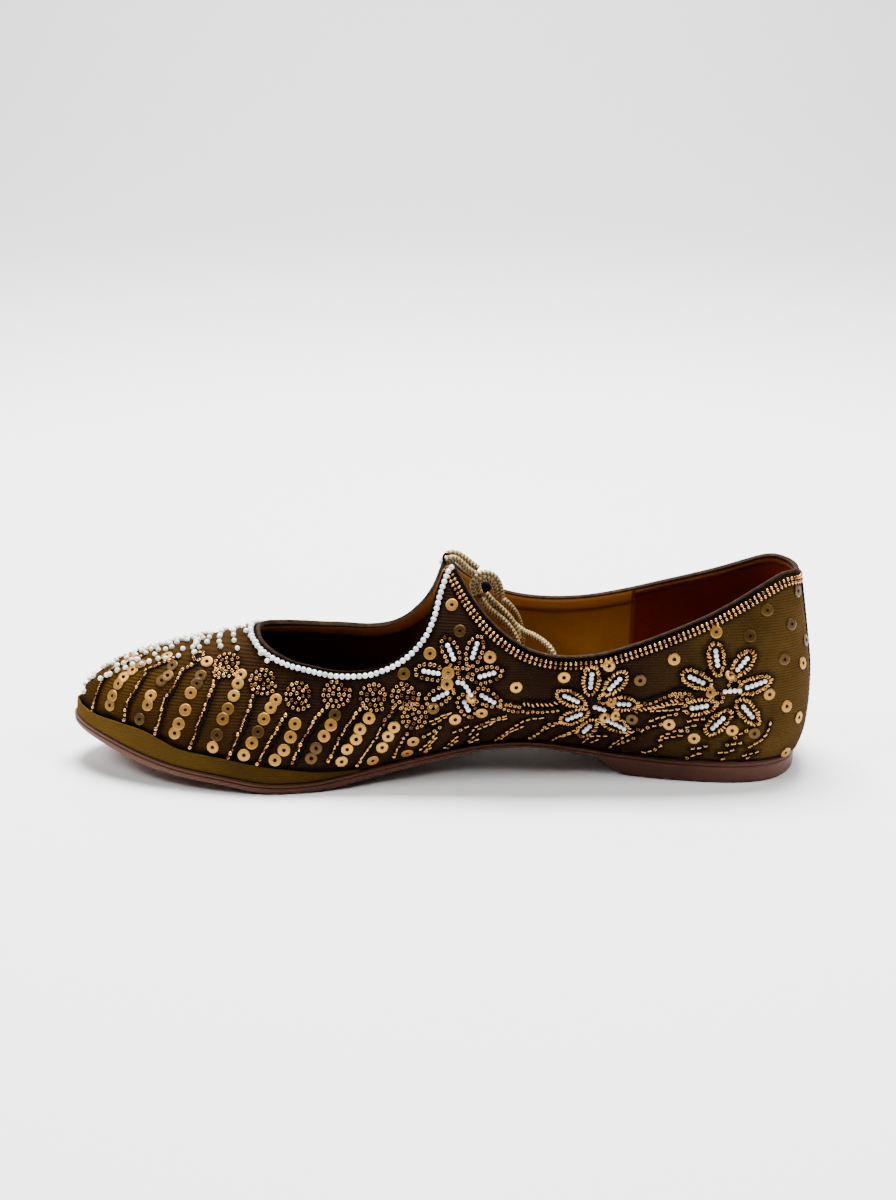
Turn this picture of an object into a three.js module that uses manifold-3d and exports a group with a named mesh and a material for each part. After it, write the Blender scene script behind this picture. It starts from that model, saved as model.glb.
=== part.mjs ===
// Right slip-on flat with an open throat, two instep peaks and a braided tie.
// Millimetres. While it is built, x runs from the heel end of the sole to the toe, +y is the inner side, +z is up.
import * as THREE from "three";
import { mergeVertices } from "three/addons/utils/BufferGeometryUtils.js";
import Module from "manifold-3d";

// Driving sizes of the last
const soleLength = 260;
const ballWidth = 78;
const backHeight = 72.5; // top line over the floor at the back seam
const peakHeight = 75; // tips of the two instep peaks over the floor
const vampHeight = 49.2; // centre line over the floor where the throat opens
const peakAt = 123.6; // tip of the inner peak, from the heel end of the sole
const outerPeakLead = 2.6; // the outer peak leans this much further forward
const throatAt = 192.6; // front of the throat, from the heel end of the sole

// Driving sizes of the pieces
const heelHeight = 7.5; // moulded heel block, floor to upper
const archHeight = 9.2; // underside of the arch over the floor
const toeSpring = 13.4; // underside of the toe tip over the floor
const soleEdge = 3.6; // side of the sole at the ball
const soleRounding = 1.2; // lower edge of the sole
const grooveDepth = 0.5; // fine line that runs round the side of the sole
const grooveWidth = 0.7;
const upperWall = 2;
const featherInset = 2.2; // upper inside the edge of the sole
const randThickness = 1;
const randTaper = 0.45; // share of its thickness that the rand loses towards its top
const randHeight = 6;
const insoleThickness = 2.5;
const insoleRounding = 0.5;
const pieceGap = 0.3; // clearance between pieces that meet
const cordWidth = 2.3;
const knotWidth = 3.6;
const heelRounding = 26; // run of the round heel end
const toeRounding = 85; // run of the round toe
const heelPower = 2.5; // squareness of the round heel end
const toePower = 1.7;

// How finely each form is divided
const soleSteps = { heel: 8, middle: 28, toe: 17 };
const upperSteps = { heel: 8, quarter: 16, front: 29, rise: 12 };
const peakCrowding = 1.3; // 1 spaces the quarter's columns evenly, more draws them together towards the peak
const randSteps = { side: 26, rise: 3 };
const heelBreast = { from: 0.24, to: 0.286 }; // rows of the underside that always get a station
const closestStations = 0.1;
const pathSamples = 60;
const normalStep = 0.5;
const noseSquareness = 30; // how steeply the last columns climb the nose before they follow the ridge
const footSpread = 1.25; // feet of the front columns, further apart behind and closer at the toe
const cordSides = 8;

// Half widths of the sole before its ends are rounded, as shares of half the ball width
const soleWidths = [
  { at: 0.0, inner: 0.72, outer: 0.72 },
  { at: 0.1, inner: 0.72, outer: 0.73 },
  { at: 0.185, inner: 0.65, outer: 0.745 },
  { at: 0.26, inner: 0.525, outer: 0.75 },
  { at: 0.35, inner: 0.462, outer: 0.785 },
  { at: 0.423, inner: 0.5, outer: 0.84 },
  { at: 0.54, inner: 0.7, outer: 0.945 },
  { at: 0.65, inner: 0.9, outer: 1.01 },
  { at: 0.75, inner: 0.99, outer: 1.015 },
  { at: 1.0, inner: 1.0, outer: 1.015 },
];

// Underside of the sole over the floor. Heel and ball stand on the floor, between them is the arch.
const soleUnderside = [
  { at: 0.0, z: 0 },
  { at: 0.24, z: 0 },
  { at: 0.253, z: 0.2 * archHeight },
  { at: 0.264, z: 0.38 * archHeight },
  { at: 0.275, z: 0.6 * archHeight },
  { at: 0.286, z: 0.7 * archHeight },
  { at: 0.31, z: 0.77 * archHeight },
  { at: 0.382, z: archHeight },
  { at: 0.42, z: 0.98 * archHeight },
  { at: 0.487, z: 0.74 * archHeight },
  { at: 0.56, z: 0.45 * archHeight },
  { at: 0.62, z: 0.15 * archHeight },
  { at: 0.665, z: 0 },
  { at: 0.725, z: 0 },
  { at: 0.774, z: 0.16 * toeSpring },
  { at: 0.844, z: 0.28 * toeSpring },
  { at: 0.9, z: 0.48 * toeSpring },
  { at: 0.95, z: 0.77 * toeSpring },
  { at: 1.0, z: toeSpring },
];

// Top of the sole over the floor, where the upper stands
const soleTop = [
  { at: 0.0, z: 0.96 * heelHeight },
  { at: 0.12, z: 0.98 * heelHeight },
  { at: 0.24, z: 1.06 * heelHeight },
  { at: 0.31, z: 0.77 * archHeight + 0.75 * soleEdge },
  { at: 0.382, z: archHeight + 0.68 * soleEdge },
  { at: 0.42, z: 0.98 * archHeight + 0.7 * soleEdge },
  { at: 0.487, z: 0.74 * archHeight + 0.85 * soleEdge },
  { at: 0.56, z: 0.45 * archHeight + 0.9 * soleEdge },
  { at: 0.62, z: 0.18 * archHeight + 0.97 * soleEdge },
  { at: 0.67, z: soleEdge },
  { at: 0.72, z: soleEdge },
  { at: 0.774, z: 0.15 * toeSpring + soleEdge },
  { at: 0.844, z: 0.28 * toeSpring + 1.05 * soleEdge },
  { at: 0.9, z: 0.5 * toeSpring + 1.12 * soleEdge },
  { at: 0.95, z: 0.78 * toeSpring + 1.1 * soleEdge },
  { at: 1.0, z: toeSpring + 1.05 * soleEdge },
];

// Centre line of the last over the floor, before the nose is rounded: behind the throat it is only a guide
const ridge = [
  { at: 0.0, z: 1.33 * backHeight },
  { at: 0.24, z: 1.28 * backHeight },
  { at: 0.38, z: 1.17 * peakHeight },
  { at: 0.475, z: 1.035 * peakHeight },
  { at: 0.62, z: 1.2 * vampHeight },
  { at: 0.68, z: 1.075 * vampHeight },
  { at: 0.744, z: vampHeight },
  { at: 0.8, z: 0.935 * vampHeight },
  { at: 0.87, z: 0.87 * vampHeight },
  { at: 1.0, z: 0.82 * vampHeight },
];
const nose = { run: 0.19 * soleLength, drop: 0.38 * vampHeight, power: 1.95 };

// Half sections of the last. Belly and shoulder are the reach of the section's two guides, as shares of half the
// ball width. Rise is the height of the lower guide as a share of the section.
const sections = [
  { at: 0.0, rise: 0.3, innerBelly: 0.83, innerShoulder: 0.24, outerBelly: 0.83, outerShoulder: 0.24 },
  { at: 0.075, rise: 0.3, innerBelly: 0.84, innerShoulder: 0.26, outerBelly: 0.83, outerShoulder: 0.26 },
  { at: 0.18, rise: 0.3, innerBelly: 0.91, innerShoulder: 0.51, outerBelly: 0.86, outerShoulder: 0.53 },
  { at: 0.34, rise: 0.3, innerBelly: 0.94, innerShoulder: 0.74, outerBelly: 0.89, outerShoulder: 0.63 },
  { at: 0.42, rise: 0.3, innerBelly: 1.14, innerShoulder: 0.36, outerBelly: 0.93, outerShoulder: 0.42 },
  { at: 0.475, rise: 0.3, innerBelly: 1.19, innerShoulder: 0.17, outerBelly: 0.94, outerShoulder: 0.21 },
  { at: 0.62, rise: 0.31, innerBelly: 1.0, innerShoulder: 0.42, outerBelly: 0.97, outerShoulder: 0.36 },
  { at: 0.68, rise: 0.33, innerBelly: 1.02, innerShoulder: 0.32, outerBelly: 1.0, outerShoulder: 0.32 },
  { at: 0.744, rise: 0.36, innerBelly: 1.02, innerShoulder: 0.34, outerBelly: 1.02, outerShoulder: 0.34 },
  { at: 0.82, rise: 0.42, innerBelly: 1.0, innerShoulder: 0.5, outerBelly: 1.02, outerShoulder: 0.5 },
  { at: 0.92, rise: 0.5, innerBelly: 0.98, innerShoulder: 0.6, outerBelly: 1.0, outerShoulder: 0.6 },
  { at: 1.0, rise: 0.55, innerBelly: 0.98, innerShoulder: 0.62, outerBelly: 1.0, outerShoulder: 0.62 },
];

// Profile of the back: height as a share of the back height, reach forwards from the heel end of the sole
const backProfile = [
  { up: 0.1, x: -1.4 },
  { up: 0.2, x: -3.8 },
  { up: 0.34, x: -4.4 },
  { up: 0.48, x: -4.2 },
  { up: 0.6, x: -3.0 },
  { up: 0.76, x: -1.2 },
  { up: 0.91, x: 0.6 },
  { up: 1.0, x: 1.8 },
  { up: 1.3, x: 6 },
];
const backFade = 60; // length over which the profile of the back fades into the sides

// Top line from the back seam to the peak: along is the share of the way, up the share of the peak height
const collarLine = [
  { along: 0.0, inner: 0.955, outer: 0.955 },
  { along: 0.05, inner: 0.97, outer: 0.965 },
  { along: 0.13, inner: 0.925, outer: 0.92 },
  { along: 0.25, inner: 0.83, outer: 0.84 },
  { along: 0.38, inner: 0.75, outer: 0.77 },
  { along: 0.5, inner: 0.68, outer: 0.715 },
  { along: 0.6, inner: 0.635, outer: 0.685 },
  { along: 0.68, inner: 0.625, outer: 0.678 },
  { along: 0.76, inner: 0.645, outer: 0.69 },
  { along: 0.82, inner: 0.69, outer: 0.72 },
  { along: 0.88, inner: 0.76, outer: 0.77 },
  { along: 0.94, inner: 0.86, outer: 0.86 },
  { along: 1.0, inner: 1.0, outer: 1.0 },
];

// Top line from the peak to the throat front. Step is the share of its length, along the share of the way forwards,
// inner and outer the height as a share of the peak height.
const throatLine = [
  { step: 0.0, along: 0.0, inner: 1.0, outer: 0.99 },
  { step: 0.032, along: 0.03, inner: 0.98, outer: 0.885 },
  { step: 0.082, along: 0.059, inner: 0.926, outer: 0.8 },
  { step: 0.143, along: 0.086, inner: 0.857, outer: 0.75 },
  { step: 0.206, along: 0.11, inner: 0.784, outer: 0.712 },
  { step: 0.275, along: 0.149, inner: 0.71, outer: 0.666 },
  { step: 0.354, along: 0.219, inner: 0.64, outer: 0.604 },
  { step: 0.433, along: 0.309, inner: 0.592, outer: 0.566 },
  { step: 0.533, along: 0.432, inner: 0.555, outer: 0.552 },
  { step: 0.666, along: 0.606, inner: 0.54, outer: 0.552 },
  { step: 0.788, along: 0.765, inner: 0.541, outer: 0.564 },
  { step: 0.855, along: 0.849, inner: 0.554, outer: 0.575 },
  { step: 0.944, along: 0.954, inner: 0.605, outer: 0.613 },
  { step: 1.0, along: 1.0, inner: 0.656, outer: 0.656 },
];

// Height of the rand over the sole as a share of its full height
const randRise = [
  { at: 0.6, h: 0.16 },
  { at: 0.64, h: 0.42 },
  { at: 0.68, h: 0.75 },
  { at: 0.74, h: 0.98 },
  { at: 0.84, h: 1.0 },
  { at: 0.885, h: 1.38 },
  { at: 0.93, h: 1.1 },
  { at: 0.965, h: 0.8 },
  { at: 1.0, h: 0.85 },
];
const randStart = { inner: 0.6, outer: 0.6 };

const inner = 1;
const outer = -1;
const toeEnd = soleLength - featherInset;

// Smooth reading of one column of a table, without overshoot
function read(table, key, column, place) {
  const last = table.length - 1;
  if (place <= table[0][key]) return table[0][column];
  if (place >= table[last][key]) return table[last][column];
  let row = 0;
  while (place > table[row + 1][key]) row += 1;
  const slope = (i) => {
    const run = table[i + 1][key] - table[i][key];
    return (table[i + 1][column] - table[i][column]) / run;
  };
  const tangent = (i) => {
    if (i === 0 || i === last) return slope(Math.min(i, last - 1));
    const before = slope(i - 1);
    const after = slope(i);
    return before * after <= 0 ? 0 : (2 * before * after) / (before + after);
  };
  const run = table[row + 1][key] - table[row][key];
  const s = (place - table[row][key]) / run;
  const start = table[row][column];
  const end = table[row + 1][column];
  const lift = s * s * (3 - 2 * s);
  const leave = s * (1 - s) * (1 - s) * tangent(row);
  const arrive = s * s * (s - 1) * tangent(row + 1);
  return start + (end - start) * lift + run * (leave + arrive);
}

const readAt = (table, column, x) => read(table, "at", column, x / soleLength);
const sideName = (side) => (side === inner ? "inner" : "outer");

// Rounding of the two ends of a plan: 1 in the middle, 0 at each end
function endRounding(x, start, end) {
  const fromHeel = Math.min(1, Math.max(0, (x - start) / heelRounding));
  const fromToe = Math.min(1, Math.max(0, (end - x) / toeRounding));
  const heel = (1 - (1 - fromHeel) ** heelPower) ** (1 / heelPower);
  const toe = (1 - (1 - fromToe) ** toePower) ** (1 / toePower);
  return heel * toe;
}

const undersideZ = (x) => readAt(soleUnderside, "z", x);
const soleTopZ = (x) => readAt(soleTop, "z", x);
const soleHalf = (x, side) => readAt(soleWidths, sideName(side), x) * (ballWidth / 2);

// Upright bow of one side: s runs from the feather edge, 0, to the centre line, 1
function lastPoint(x, s, side) {
  const half = ballWidth / 2;
  const name = sideName(side);
  const rounding = endRounding(x, 0, toeEnd);
  const low = soleTopZ(x) + pieceGap;
  const noseShare = Math.max(0, (x - (toeEnd - nose.run)) / nose.run);
  const noseRound = 1 - (1 - Math.min(1, noseShare) ** nose.power) ** (1 / nose.power);
  const high = readAt(ridge, "z", x) - nose.drop * noseRound;
  const reach = [
    soleHalf(x, side) - featherInset,
    half * readAt(sections, name + "Belly", x),
    half * readAt(sections, name + "Shoulder", x),
    0,
  ];
  const heights = [low, low + readAt(sections, "rise", x) * (high - low), high, high];
  const weights = [(1 - s) ** 3, 3 * s * (1 - s) ** 2, 3 * s * s * (1 - s), s ** 3];
  const blend = (values) => values.reduce((sum, value, i) => sum + value * weights[i], 0);
  const z = blend(heights);
  const fade = Math.max(0, 1 - x / backFade) ** 2;
  const shift = read(backProfile, "up", "x", z / backHeight) * fade;
  return new THREE.Vector3(x + shift, side * rounding * blend(reach), z);
}

// Share s at which the bow at x reaches the height z
function shareAtHeight(x, z, side) {
  let low = 0;
  let high = 1;
  for (let i = 0; i < 40; i += 1) {
    const middle = (low + high) / 2;
    if (lastPoint(x, middle, side).z < z) low = middle;
    else high = middle;
  }
  return (low + high) / 2;
}

// Direction out of the last at x and s
function lastNormal(x, s, side) {
  const share = normalStep / backHeight;
  const along = lastPoint(x + normalStep, s, side).sub(lastPoint(x - normalStep, s, side));
  const above = lastPoint(x, Math.min(1, s + share), side);
  const up = above.sub(lastPoint(x, Math.max(0, s - share), side));
  const normal = side === inner ? up.cross(along) : along.cross(up);
  return normal.normalize();
}

// Places a given number of equal steps apart along a path of sampled places, each a point with its x, share and side
function evenPlaces(path, steps) {
  const lengths = [0];
  for (let i = 1; i < path.length; i += 1) {
    lengths.push(lengths[i - 1] + path[i].point.distanceTo(path[i - 1].point));
  }
  const places = [];
  let row = 0;
  for (let i = 0; i <= steps; i += 1) {
    const target = (lengths[lengths.length - 1] * i) / steps;
    while (row < path.length - 2 && lengths[row + 1] < target) row += 1;
    const run = lengths[row + 1] - lengths[row] || 1;
    const part = (target - lengths[row]) / run;
    const from = path[row];
    const to = path[row + 1];
    places.push({
      point: from.point.clone().lerp(to.point, part),
      x: from.x + (to.x - from.x) * part,
      share: from.share + (to.share - from.share) * part,
      side: from.side,
    });
  }
  return places;
}

// One column of the upper, from its foot on the sole to the top line. Towards the toe the columns lean back
// and round the nose: squareness 1 is a straight lean, a high one climbs first and then runs along the ridge.
function upperColumn(footX, topX, topShare, squareness, side) {
  const path = [];
  for (let i = 0; i <= pathSamples; i += 1) {
    const angle = (Math.PI / 2) * (i / pathSamples);
    const across = Math.cos(angle);
    const up = Math.sin(angle);
    const radius = (across ** squareness + up ** squareness) ** (-1 / squareness);
    const x = topX + (footX - topX) * Math.min(1, radius * across);
    const share = topShare * Math.min(1, radius * up);
    path.push({ point: lastPoint(x, share, side), x, share, side });
  }
  return evenPlaces(path, upperSteps.rise);
}

function upperColumns(side) {
  const name = sideName(side);
  const columns = [];
  const peak = side === outer ? peakAt + outerPeakLead : peakAt;
  for (let i = 0; i < upperSteps.heel + upperSteps.quarter; i += 1) {
    const turn = Math.min(1, i / upperSteps.heel) * (Math.PI / 2);
    const behind = Math.min(1, 1 - (i - upperSteps.heel) / upperSteps.quarter);
    const ahead = 1 - behind ** peakCrowding;
    const x = heelRounding * (1 - Math.cos(turn) ** (2 / heelPower)) + (peak - heelRounding) * ahead;
    const top = read(collarLine, "along", name, x / peak) * peakHeight;
    columns.push(upperColumn(x, x, shareAtHeight(x, top, side), 1, side));
  }
  for (let i = 0; i <= upperSteps.front; i += 1) {
    const share = i / upperSteps.front;
    const footX = peak + (toeEnd - peak) * (footSpread * share - (footSpread - 1) * share ** 4);
    const topX = peak + (throatAt - peak) * read(throatLine, "step", "along", share);
    const top = read(throatLine, "step", name, share) * peakHeight;
    const topShare = i === upperSteps.front ? 1 : shareAtHeight(topX, top, side);
    columns.push(upperColumn(footX, topX, topShare, 1 + noseSquareness * share ** 5, side));
  }
  return columns;
}

// Closed solid between two grids of points: rings of columns, each column from foot to top
function shellGeometry(outside, inside) {
  const positions = [];
  const quad = (a, b, c, d) => {
    for (const p of [a, b, c, a, c, d]) positions.push(p.x, p.y, p.z);
  };
  const count = outside.length;
  const rows = outside[0].length;
  for (let i = 0; i < count; i += 1) {
    const next = (i + 1) % count;
    for (let j = 0; j + 1 < rows; j += 1) {
      quad(outside[i][j], outside[next][j], outside[next][j + 1], outside[i][j + 1]);
      quad(inside[i][j + 1], inside[next][j + 1], inside[next][j], inside[i][j]);
    }
    quad(outside[i][rows - 1], outside[next][rows - 1], inside[next][rows - 1], inside[i][rows - 1]);
    quad(inside[i][0], inside[next][0], outside[next][0], outside[i][0]);
  }
  return geometryOf(positions);
}

function geometryOf(positions) {
  const loose = new THREE.BufferGeometry();
  loose.setAttribute("position", new THREE.Float32BufferAttribute(positions, 3));
  const merged = mergeVertices(loose, 1e-4);
  merged.computeVertexNormals();
  return merged;
}

// Direction out of a closed ring of columns at one of its points
function outward(grid, i, j) {
  const count = grid.length;
  const rows = grid[0].length;
  const along = grid[(i + 1) % count][j].clone().sub(grid[(i + count - 1) % count][j]);
  const up = grid[i][Math.min(rows - 1, j + 1)].clone().sub(grid[i][Math.max(0, j - 1)]);
  return along.cross(up).normalize();
}

function makeUpper() {
  const innerColumns = upperColumns(inner);
  const outerColumns = upperColumns(outer);
  const last = innerColumns.length - 1;
  const ring = outerColumns.concat(innerColumns.slice(1, last).reverse());
  const face = ring.map((column) => column.map((place) => place.point));
  const lining = ring.map((column, i) =>
    column.map((place, j) => {
      const isFlank = place.x > heelRounding && place.x < throatAt;
      const out = isFlank ? lastNormal(place.x, place.share, place.side) : outward(face, i, j);
      const moved = place.point.clone().addScaledVector(out, -upperWall);
      if (j === 0) moved.z = place.point.z;
      return moved;
    }),
  );
  return shellGeometry(face, lining);
}

// Stations along a plan from its heel end to its toe end, closer together at both ends and at the heel breast
function stations(start, end) {
  const list = [];
  const heel = start + heelRounding;
  const toe = end - toeRounding;
  for (let i = 0; i < soleSteps.heel; i += 1) {
    const turn = (Math.PI / 2) * (i / soleSteps.heel);
    list.push(start + heelRounding * (1 - Math.cos(turn) ** (2 / heelPower)));
  }
  for (let i = 0; i < soleSteps.middle; i += 1) {
    list.push(heel + (toe - heel) * (i / soleSteps.middle));
  }
  for (let i = 0; i <= soleSteps.toe; i += 1) {
    const turn = (Math.PI / 2) * (i / soleSteps.toe);
    list.push(toe + toeRounding * Math.sin(turn) ** (2 / toePower));
  }
  const breastRows = soleUnderside.filter((row) => row.at >= heelBreast.from && row.at <= heelBreast.to);
  for (const row of breastRows) list.push(row.at * soleLength);
  list.sort((a, b) => a - b);
  return list.filter((x, i) => i === 0 || x - list[i - 1] > closestStations);
}

// Flat piece built from rings of the same plan. Each ring draws the plan in by its inset and has its own heights.
function layeredGeometry(xs, halfWidth, rings) {
  const positions = [];
  const triangle = (a, b, c) => positions.push(...a, ...b, ...c);
  const middle = (xs[0] + xs[xs.length - 1]) / 2;
  const halfRun = (xs[xs.length - 1] - xs[0]) / 2;
  const place = (ring, i, side) => {
    const drawn = middle + (xs[i] - middle) * (1 - ring.inset / halfRun);
    const isEnd = i === 0 || i === xs.length - 1;
    const wide = halfWidth(xs[i], side);
    const y = isEnd ? 0 : side * wide * (1 - ring.inset / Math.max(wide, 3 * ring.inset + 1));
    return [drawn, y, ring.z(xs[i])];
  };
  for (let i = 0; i + 1 < xs.length; i += 1) {
    for (let r = 0; r + 1 < rings.length; r += 1) {
      for (const side of [inner, outer]) {
        const a = place(rings[r], i, side);
        const b = place(rings[r], i + 1, side);
        const c = place(rings[r + 1], i + 1, side);
        const d = place(rings[r + 1], i, side);
        if (side === inner) {
          triangle(a, c, b);
          triangle(a, d, c);
        } else {
          triangle(a, b, c);
          triangle(a, c, d);
        }
      }
    }
    for (const [ring, up] of [
      [rings[0], false],
      [rings[rings.length - 1], true],
    ]) {
      const a = place(ring, i, outer);
      const b = place(ring, i + 1, outer);
      const c = place(ring, i + 1, inner);
      const d = place(ring, i, inner);
      const faces = up ? [a, b, c, a, c, d] : [a, c, b, a, d, c];
      for (let k = 0; k < faces.length; k += 3) {
        const [p, q, r] = faces.slice(k, k + 3);
        const doubled = [p, q, r].some((v, n, all) => v.join() === all[(n + 1) % 3].join());
        if (!doubled) triangle(p, q, r);
      }
    }
  }
  return geometryOf(positions);
}

function makeOutsole() {
  const grooveTop = (x) => soleTopZ(x) - grooveWidth;
  const rounded = (x) => Math.min(soleRounding, 0.35 * (soleTopZ(x) - undersideZ(x)));
  const rings = [
    { inset: soleRounding, z: undersideZ },
    { inset: 0.3 * soleRounding, z: (x) => undersideZ(x) + 0.35 * rounded(x) },
    { inset: 0, z: (x) => undersideZ(x) + rounded(x) },
    { inset: 0, z: (x) => grooveTop(x) - grooveWidth },
    { inset: grooveDepth, z: (x) => grooveTop(x) - grooveWidth / 2 },
    { inset: 0, z: grooveTop },
    { inset: 0.25 * grooveDepth, z: soleTopZ },
  ];
  const halfWidth = (x, side) => soleHalf(x, side) * endRounding(x, 0, soleLength);
  return layeredGeometry(stations(0, soleLength), halfWidth, rings);
}

function makeInsole() {
  const clear = featherInset + upperWall + 2 * pieceGap;
  const start = upperWall + pieceGap;
  const end = toeEnd - upperWall - 3 * pieceGap;
  const bottom = (x) => soleTopZ(x) + pieceGap;
  const rings = [
    { inset: 0, z: bottom },
    { inset: 0, z: (x) => bottom(x) + insoleThickness - insoleRounding },
    { inset: insoleRounding, z: (x) => bottom(x) + insoleThickness },
  ];
  const halfWidth = (x, side) => (soleHalf(x, side) - clear) * endRounding(x, start, end);
  return layeredGeometry(stations(start, end), halfWidth, rings);
}

// Point of the upper's outer face at a height over the sole, moved out by an offset
function faceOffset(x, rise, side, offset) {
  const low = soleTopZ(x) + pieceGap;
  const s = shareAtHeight(x, low + rise, side);
  const step = 0.02;
  const behind = x - step * randHeight;
  const here = lastPoint(x, s, side);
  const back = lastPoint(behind, shareAtHeight(behind, low + rise, side), side);
  const along = here.clone().sub(back);
  const up = lastPoint(x, Math.min(1, s + step), side).sub(lastPoint(x, Math.max(0, s - step), side));
  const normal = side === inner ? up.cross(along) : along.cross(up);
  return here.addScaledVector(normal.normalize(), offset);
}

function makeRand() {
  const columnsOf = (side, offsetAt) => {
    const start = randStart[sideName(side)] * soleLength;
    const columns = [];
    for (let i = 0; i <= randSteps.side; i += 1) {
      const share = i / randSteps.side;
      const x = start + (toeEnd - start) * Math.sin((Math.PI / 2) * share);
      const height = randHeight * readAt(randRise, "h", x);
      const column = [];
      for (let j = 0; j <= randSteps.rise; j += 1) {
        const up = j / randSteps.rise;
        const atTip = i === randSteps.side;
        const point = atTip
          ? new THREE.Vector3(toeEnd + offsetAt(up), 0, soleTopZ(x) + pieceGap + height * up)
          : faceOffset(x, height * up, side, offsetAt(up));
        if (j === 0) point.z = soleTopZ(point.x) + pieceGap;
        column.push(point);
      }
      columns.push(column);
    }
    return columns;
  };
  const strip = (offsetAt) => {
    const one = columnsOf(outer, offsetAt);
    const other = columnsOf(inner, offsetAt);
    return one.concat(other.slice(0, -1).reverse());
  };
  const face = strip((up) => pieceGap + randThickness * (1 - randTaper * up));
  const back = strip(() => pieceGap);
  return stripGeometry(face, back);
}

// Closed solid between two open grids of points with the same columns
function stripGeometry(face, back) {
  const positions = [];
  const quad = (a, b, c, d) => {
    for (const p of [a, b, c, a, c, d]) positions.push(p.x, p.y, p.z);
  };
  const count = face.length;
  const rows = face[0].length;
  for (let i = 0; i + 1 < count; i += 1) {
    for (let j = 0; j + 1 < rows; j += 1) {
      quad(face[i][j], face[i + 1][j], face[i + 1][j + 1], face[i][j + 1]);
      quad(back[i][j + 1], back[i + 1][j + 1], back[i + 1][j], back[i][j]);
    }
    quad(face[i][rows - 1], face[i + 1][rows - 1], back[i + 1][rows - 1], back[i][rows - 1]);
    quad(back[i][0], back[i + 1][0], face[i + 1][0], face[i][0]);
  }
  for (let j = 0; j + 1 < rows; j += 1) {
    quad(back[0][j], face[0][j], face[0][j + 1], back[0][j + 1]);
    const end = count - 1;
    quad(face[end][j], back[end][j], back[end][j + 1], face[end][j + 1]);
  }
  return geometryOf(positions);
}

// Length of cord along chosen points
function cordGeometry(points, steps, width) {
  const round = new THREE.Shape();
  for (let i = 0; i < cordSides; i += 1) {
    const angle = (2 * Math.PI * i) / cordSides;
    const x = (width / 2) * Math.cos(angle);
    const y = (width / 2) * Math.sin(angle);
    if (i === 0) round.moveTo(x, y);
    else round.lineTo(x, y);
  }
  round.closePath();
  const extrudePath = new THREE.CatmullRomCurve3(points.map((p) => new THREE.Vector3(...p)));
  const tube = new THREE.ExtrudeGeometry(round, { steps, bevelEnabled: false, extrudePath });
  tube.deleteAttribute("normal");
  tube.deleteAttribute("uv");
  return mergeVertices(tube, 1e-4);
}

const wasm = await Module();
wasm.setup();

function solidOf(geometry) {
  return new wasm.Manifold(
    new wasm.Mesh({
      numProp: 3,
      vertProperties: Float32Array.from(geometry.attributes.position.array),
      triVerts: Uint32Array.from(geometry.index.array),
    }),
  );
}

function geometryOfSolid(solid) {
  const mesh = solid.getMesh();
  const geometry = new THREE.BufferGeometry();
  geometry.setAttribute("position", new THREE.BufferAttribute(mesh.vertProperties, mesh.numProp));
  geometry.setIndex(new THREE.BufferAttribute(mesh.triVerts, 1));
  geometry.computeVertexNormals();
  return geometry;
}

// The tie: one strand from each peak, joined under the knot, then its loop and its two ends inside the shoe
const strandFromInner = [
  [124.0, 2.4, 74.9],
  [122.1, 1.9, 74.9],
  [120.0, 1.2, 73.5],
  [118.0, 0.6, 71.6],
  [115.4, -0.4, 69.3],
];
const strandFromOuter = [
  [123.4, -1.6, 75.3],
  [121.2, -1.6, 75.1],
  [118.8, -1.5, 73.8],
  [116.3, -1.3, 71.9],
  [114.1, -1.0, 69.7],
];
const knotPath = [
  [114.4, 1.2, 61.2],
  [115.3, 1.4, 64.5],
  [114.1, 1.4, 67.2],
  [111.4, 1.0, 67.9],
  [108.7, 0.6, 66.2],
  [107.2, 0.0, 62.7],
  [106.9, -0.4, 59.5],
];
const loopPath = [
  [111.6, -1.6, 60.3],
  [109.3, -1.2, 57.6],
  [106.2, -0.8, 54.9],
  [103.3, -0.6, 51.7],
  [101.0, -0.6, 48.0],
  [99.7, -0.8, 43.8],
  [98.9, -1.2, 38.7],
  [98.6, -3.0, 33.8],
  [98.6, -7.0, 29.8],
  [98.5, -11.2, 30.9],
  [98.1, -12.8, 35.2],
  [98.1, -12.0, 40.2],
  [98.8, -10.4, 45.0],
  [100.0, -8.6, 49.1],
  [101.7, -6.6, 52.6],
  [103.8, -5.4, 55.4],
  [105.2, -5.0, 56.7],
];
const endPathA = [
  [113.2, 2.9, 59.7],
  [110.7, 2.4, 56.0],
  [107.4, 1.9, 53.1],
  [104.4, 1.8, 50.2],
  [102.0, 2.0, 47.0],
  [100.4, 2.4, 43.3],
  [99.4, 2.9, 38.4],
  [98.7, 3.3, 33.2],
  [98.3, 3.5, 29.4],
];
const endPathB = [
  [108.6, -4.2, 55.3],
  [106.1, -4.4, 53.0],
  [103.6, -4.2, 50.6],
  [101.1, -4.0, 47.8],
  [97.9, -2.4, 45.7],
  [94.5, 1.4, 45.4],
  [91.1, 5.0, 44.2],
  [88.7, 7.8, 42.4],
  [87.3, 9.7, 39.5],
  [86.6, 11.2, 35.7],
  [86.2, 12.0, 31.1],
];

function makeTieBars() {
  const one = solidOf(cordGeometry(strandFromInner, 8, cordWidth));
  const other = solidOf(cordGeometry(strandFromOuter, 8, cordWidth));
  return geometryOfSolid(one.add(other));
}

const finishes = {
  rubber: { color: 0x6b4a40, roughness: 0.5, metalness: 0 },
  cloth: { color: 0x5f4723, roughness: 0.85, metalness: 0 },
  strip: { color: 0x6d5423, roughness: 0.8, metalness: 0 },
  leather: { color: 0xa8702a, roughness: 0.6, metalness: 0 },
  braid: { color: 0xb59a62, roughness: 0.7, metalness: 0.2 },
};

const shoe = new THREE.Group();

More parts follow.
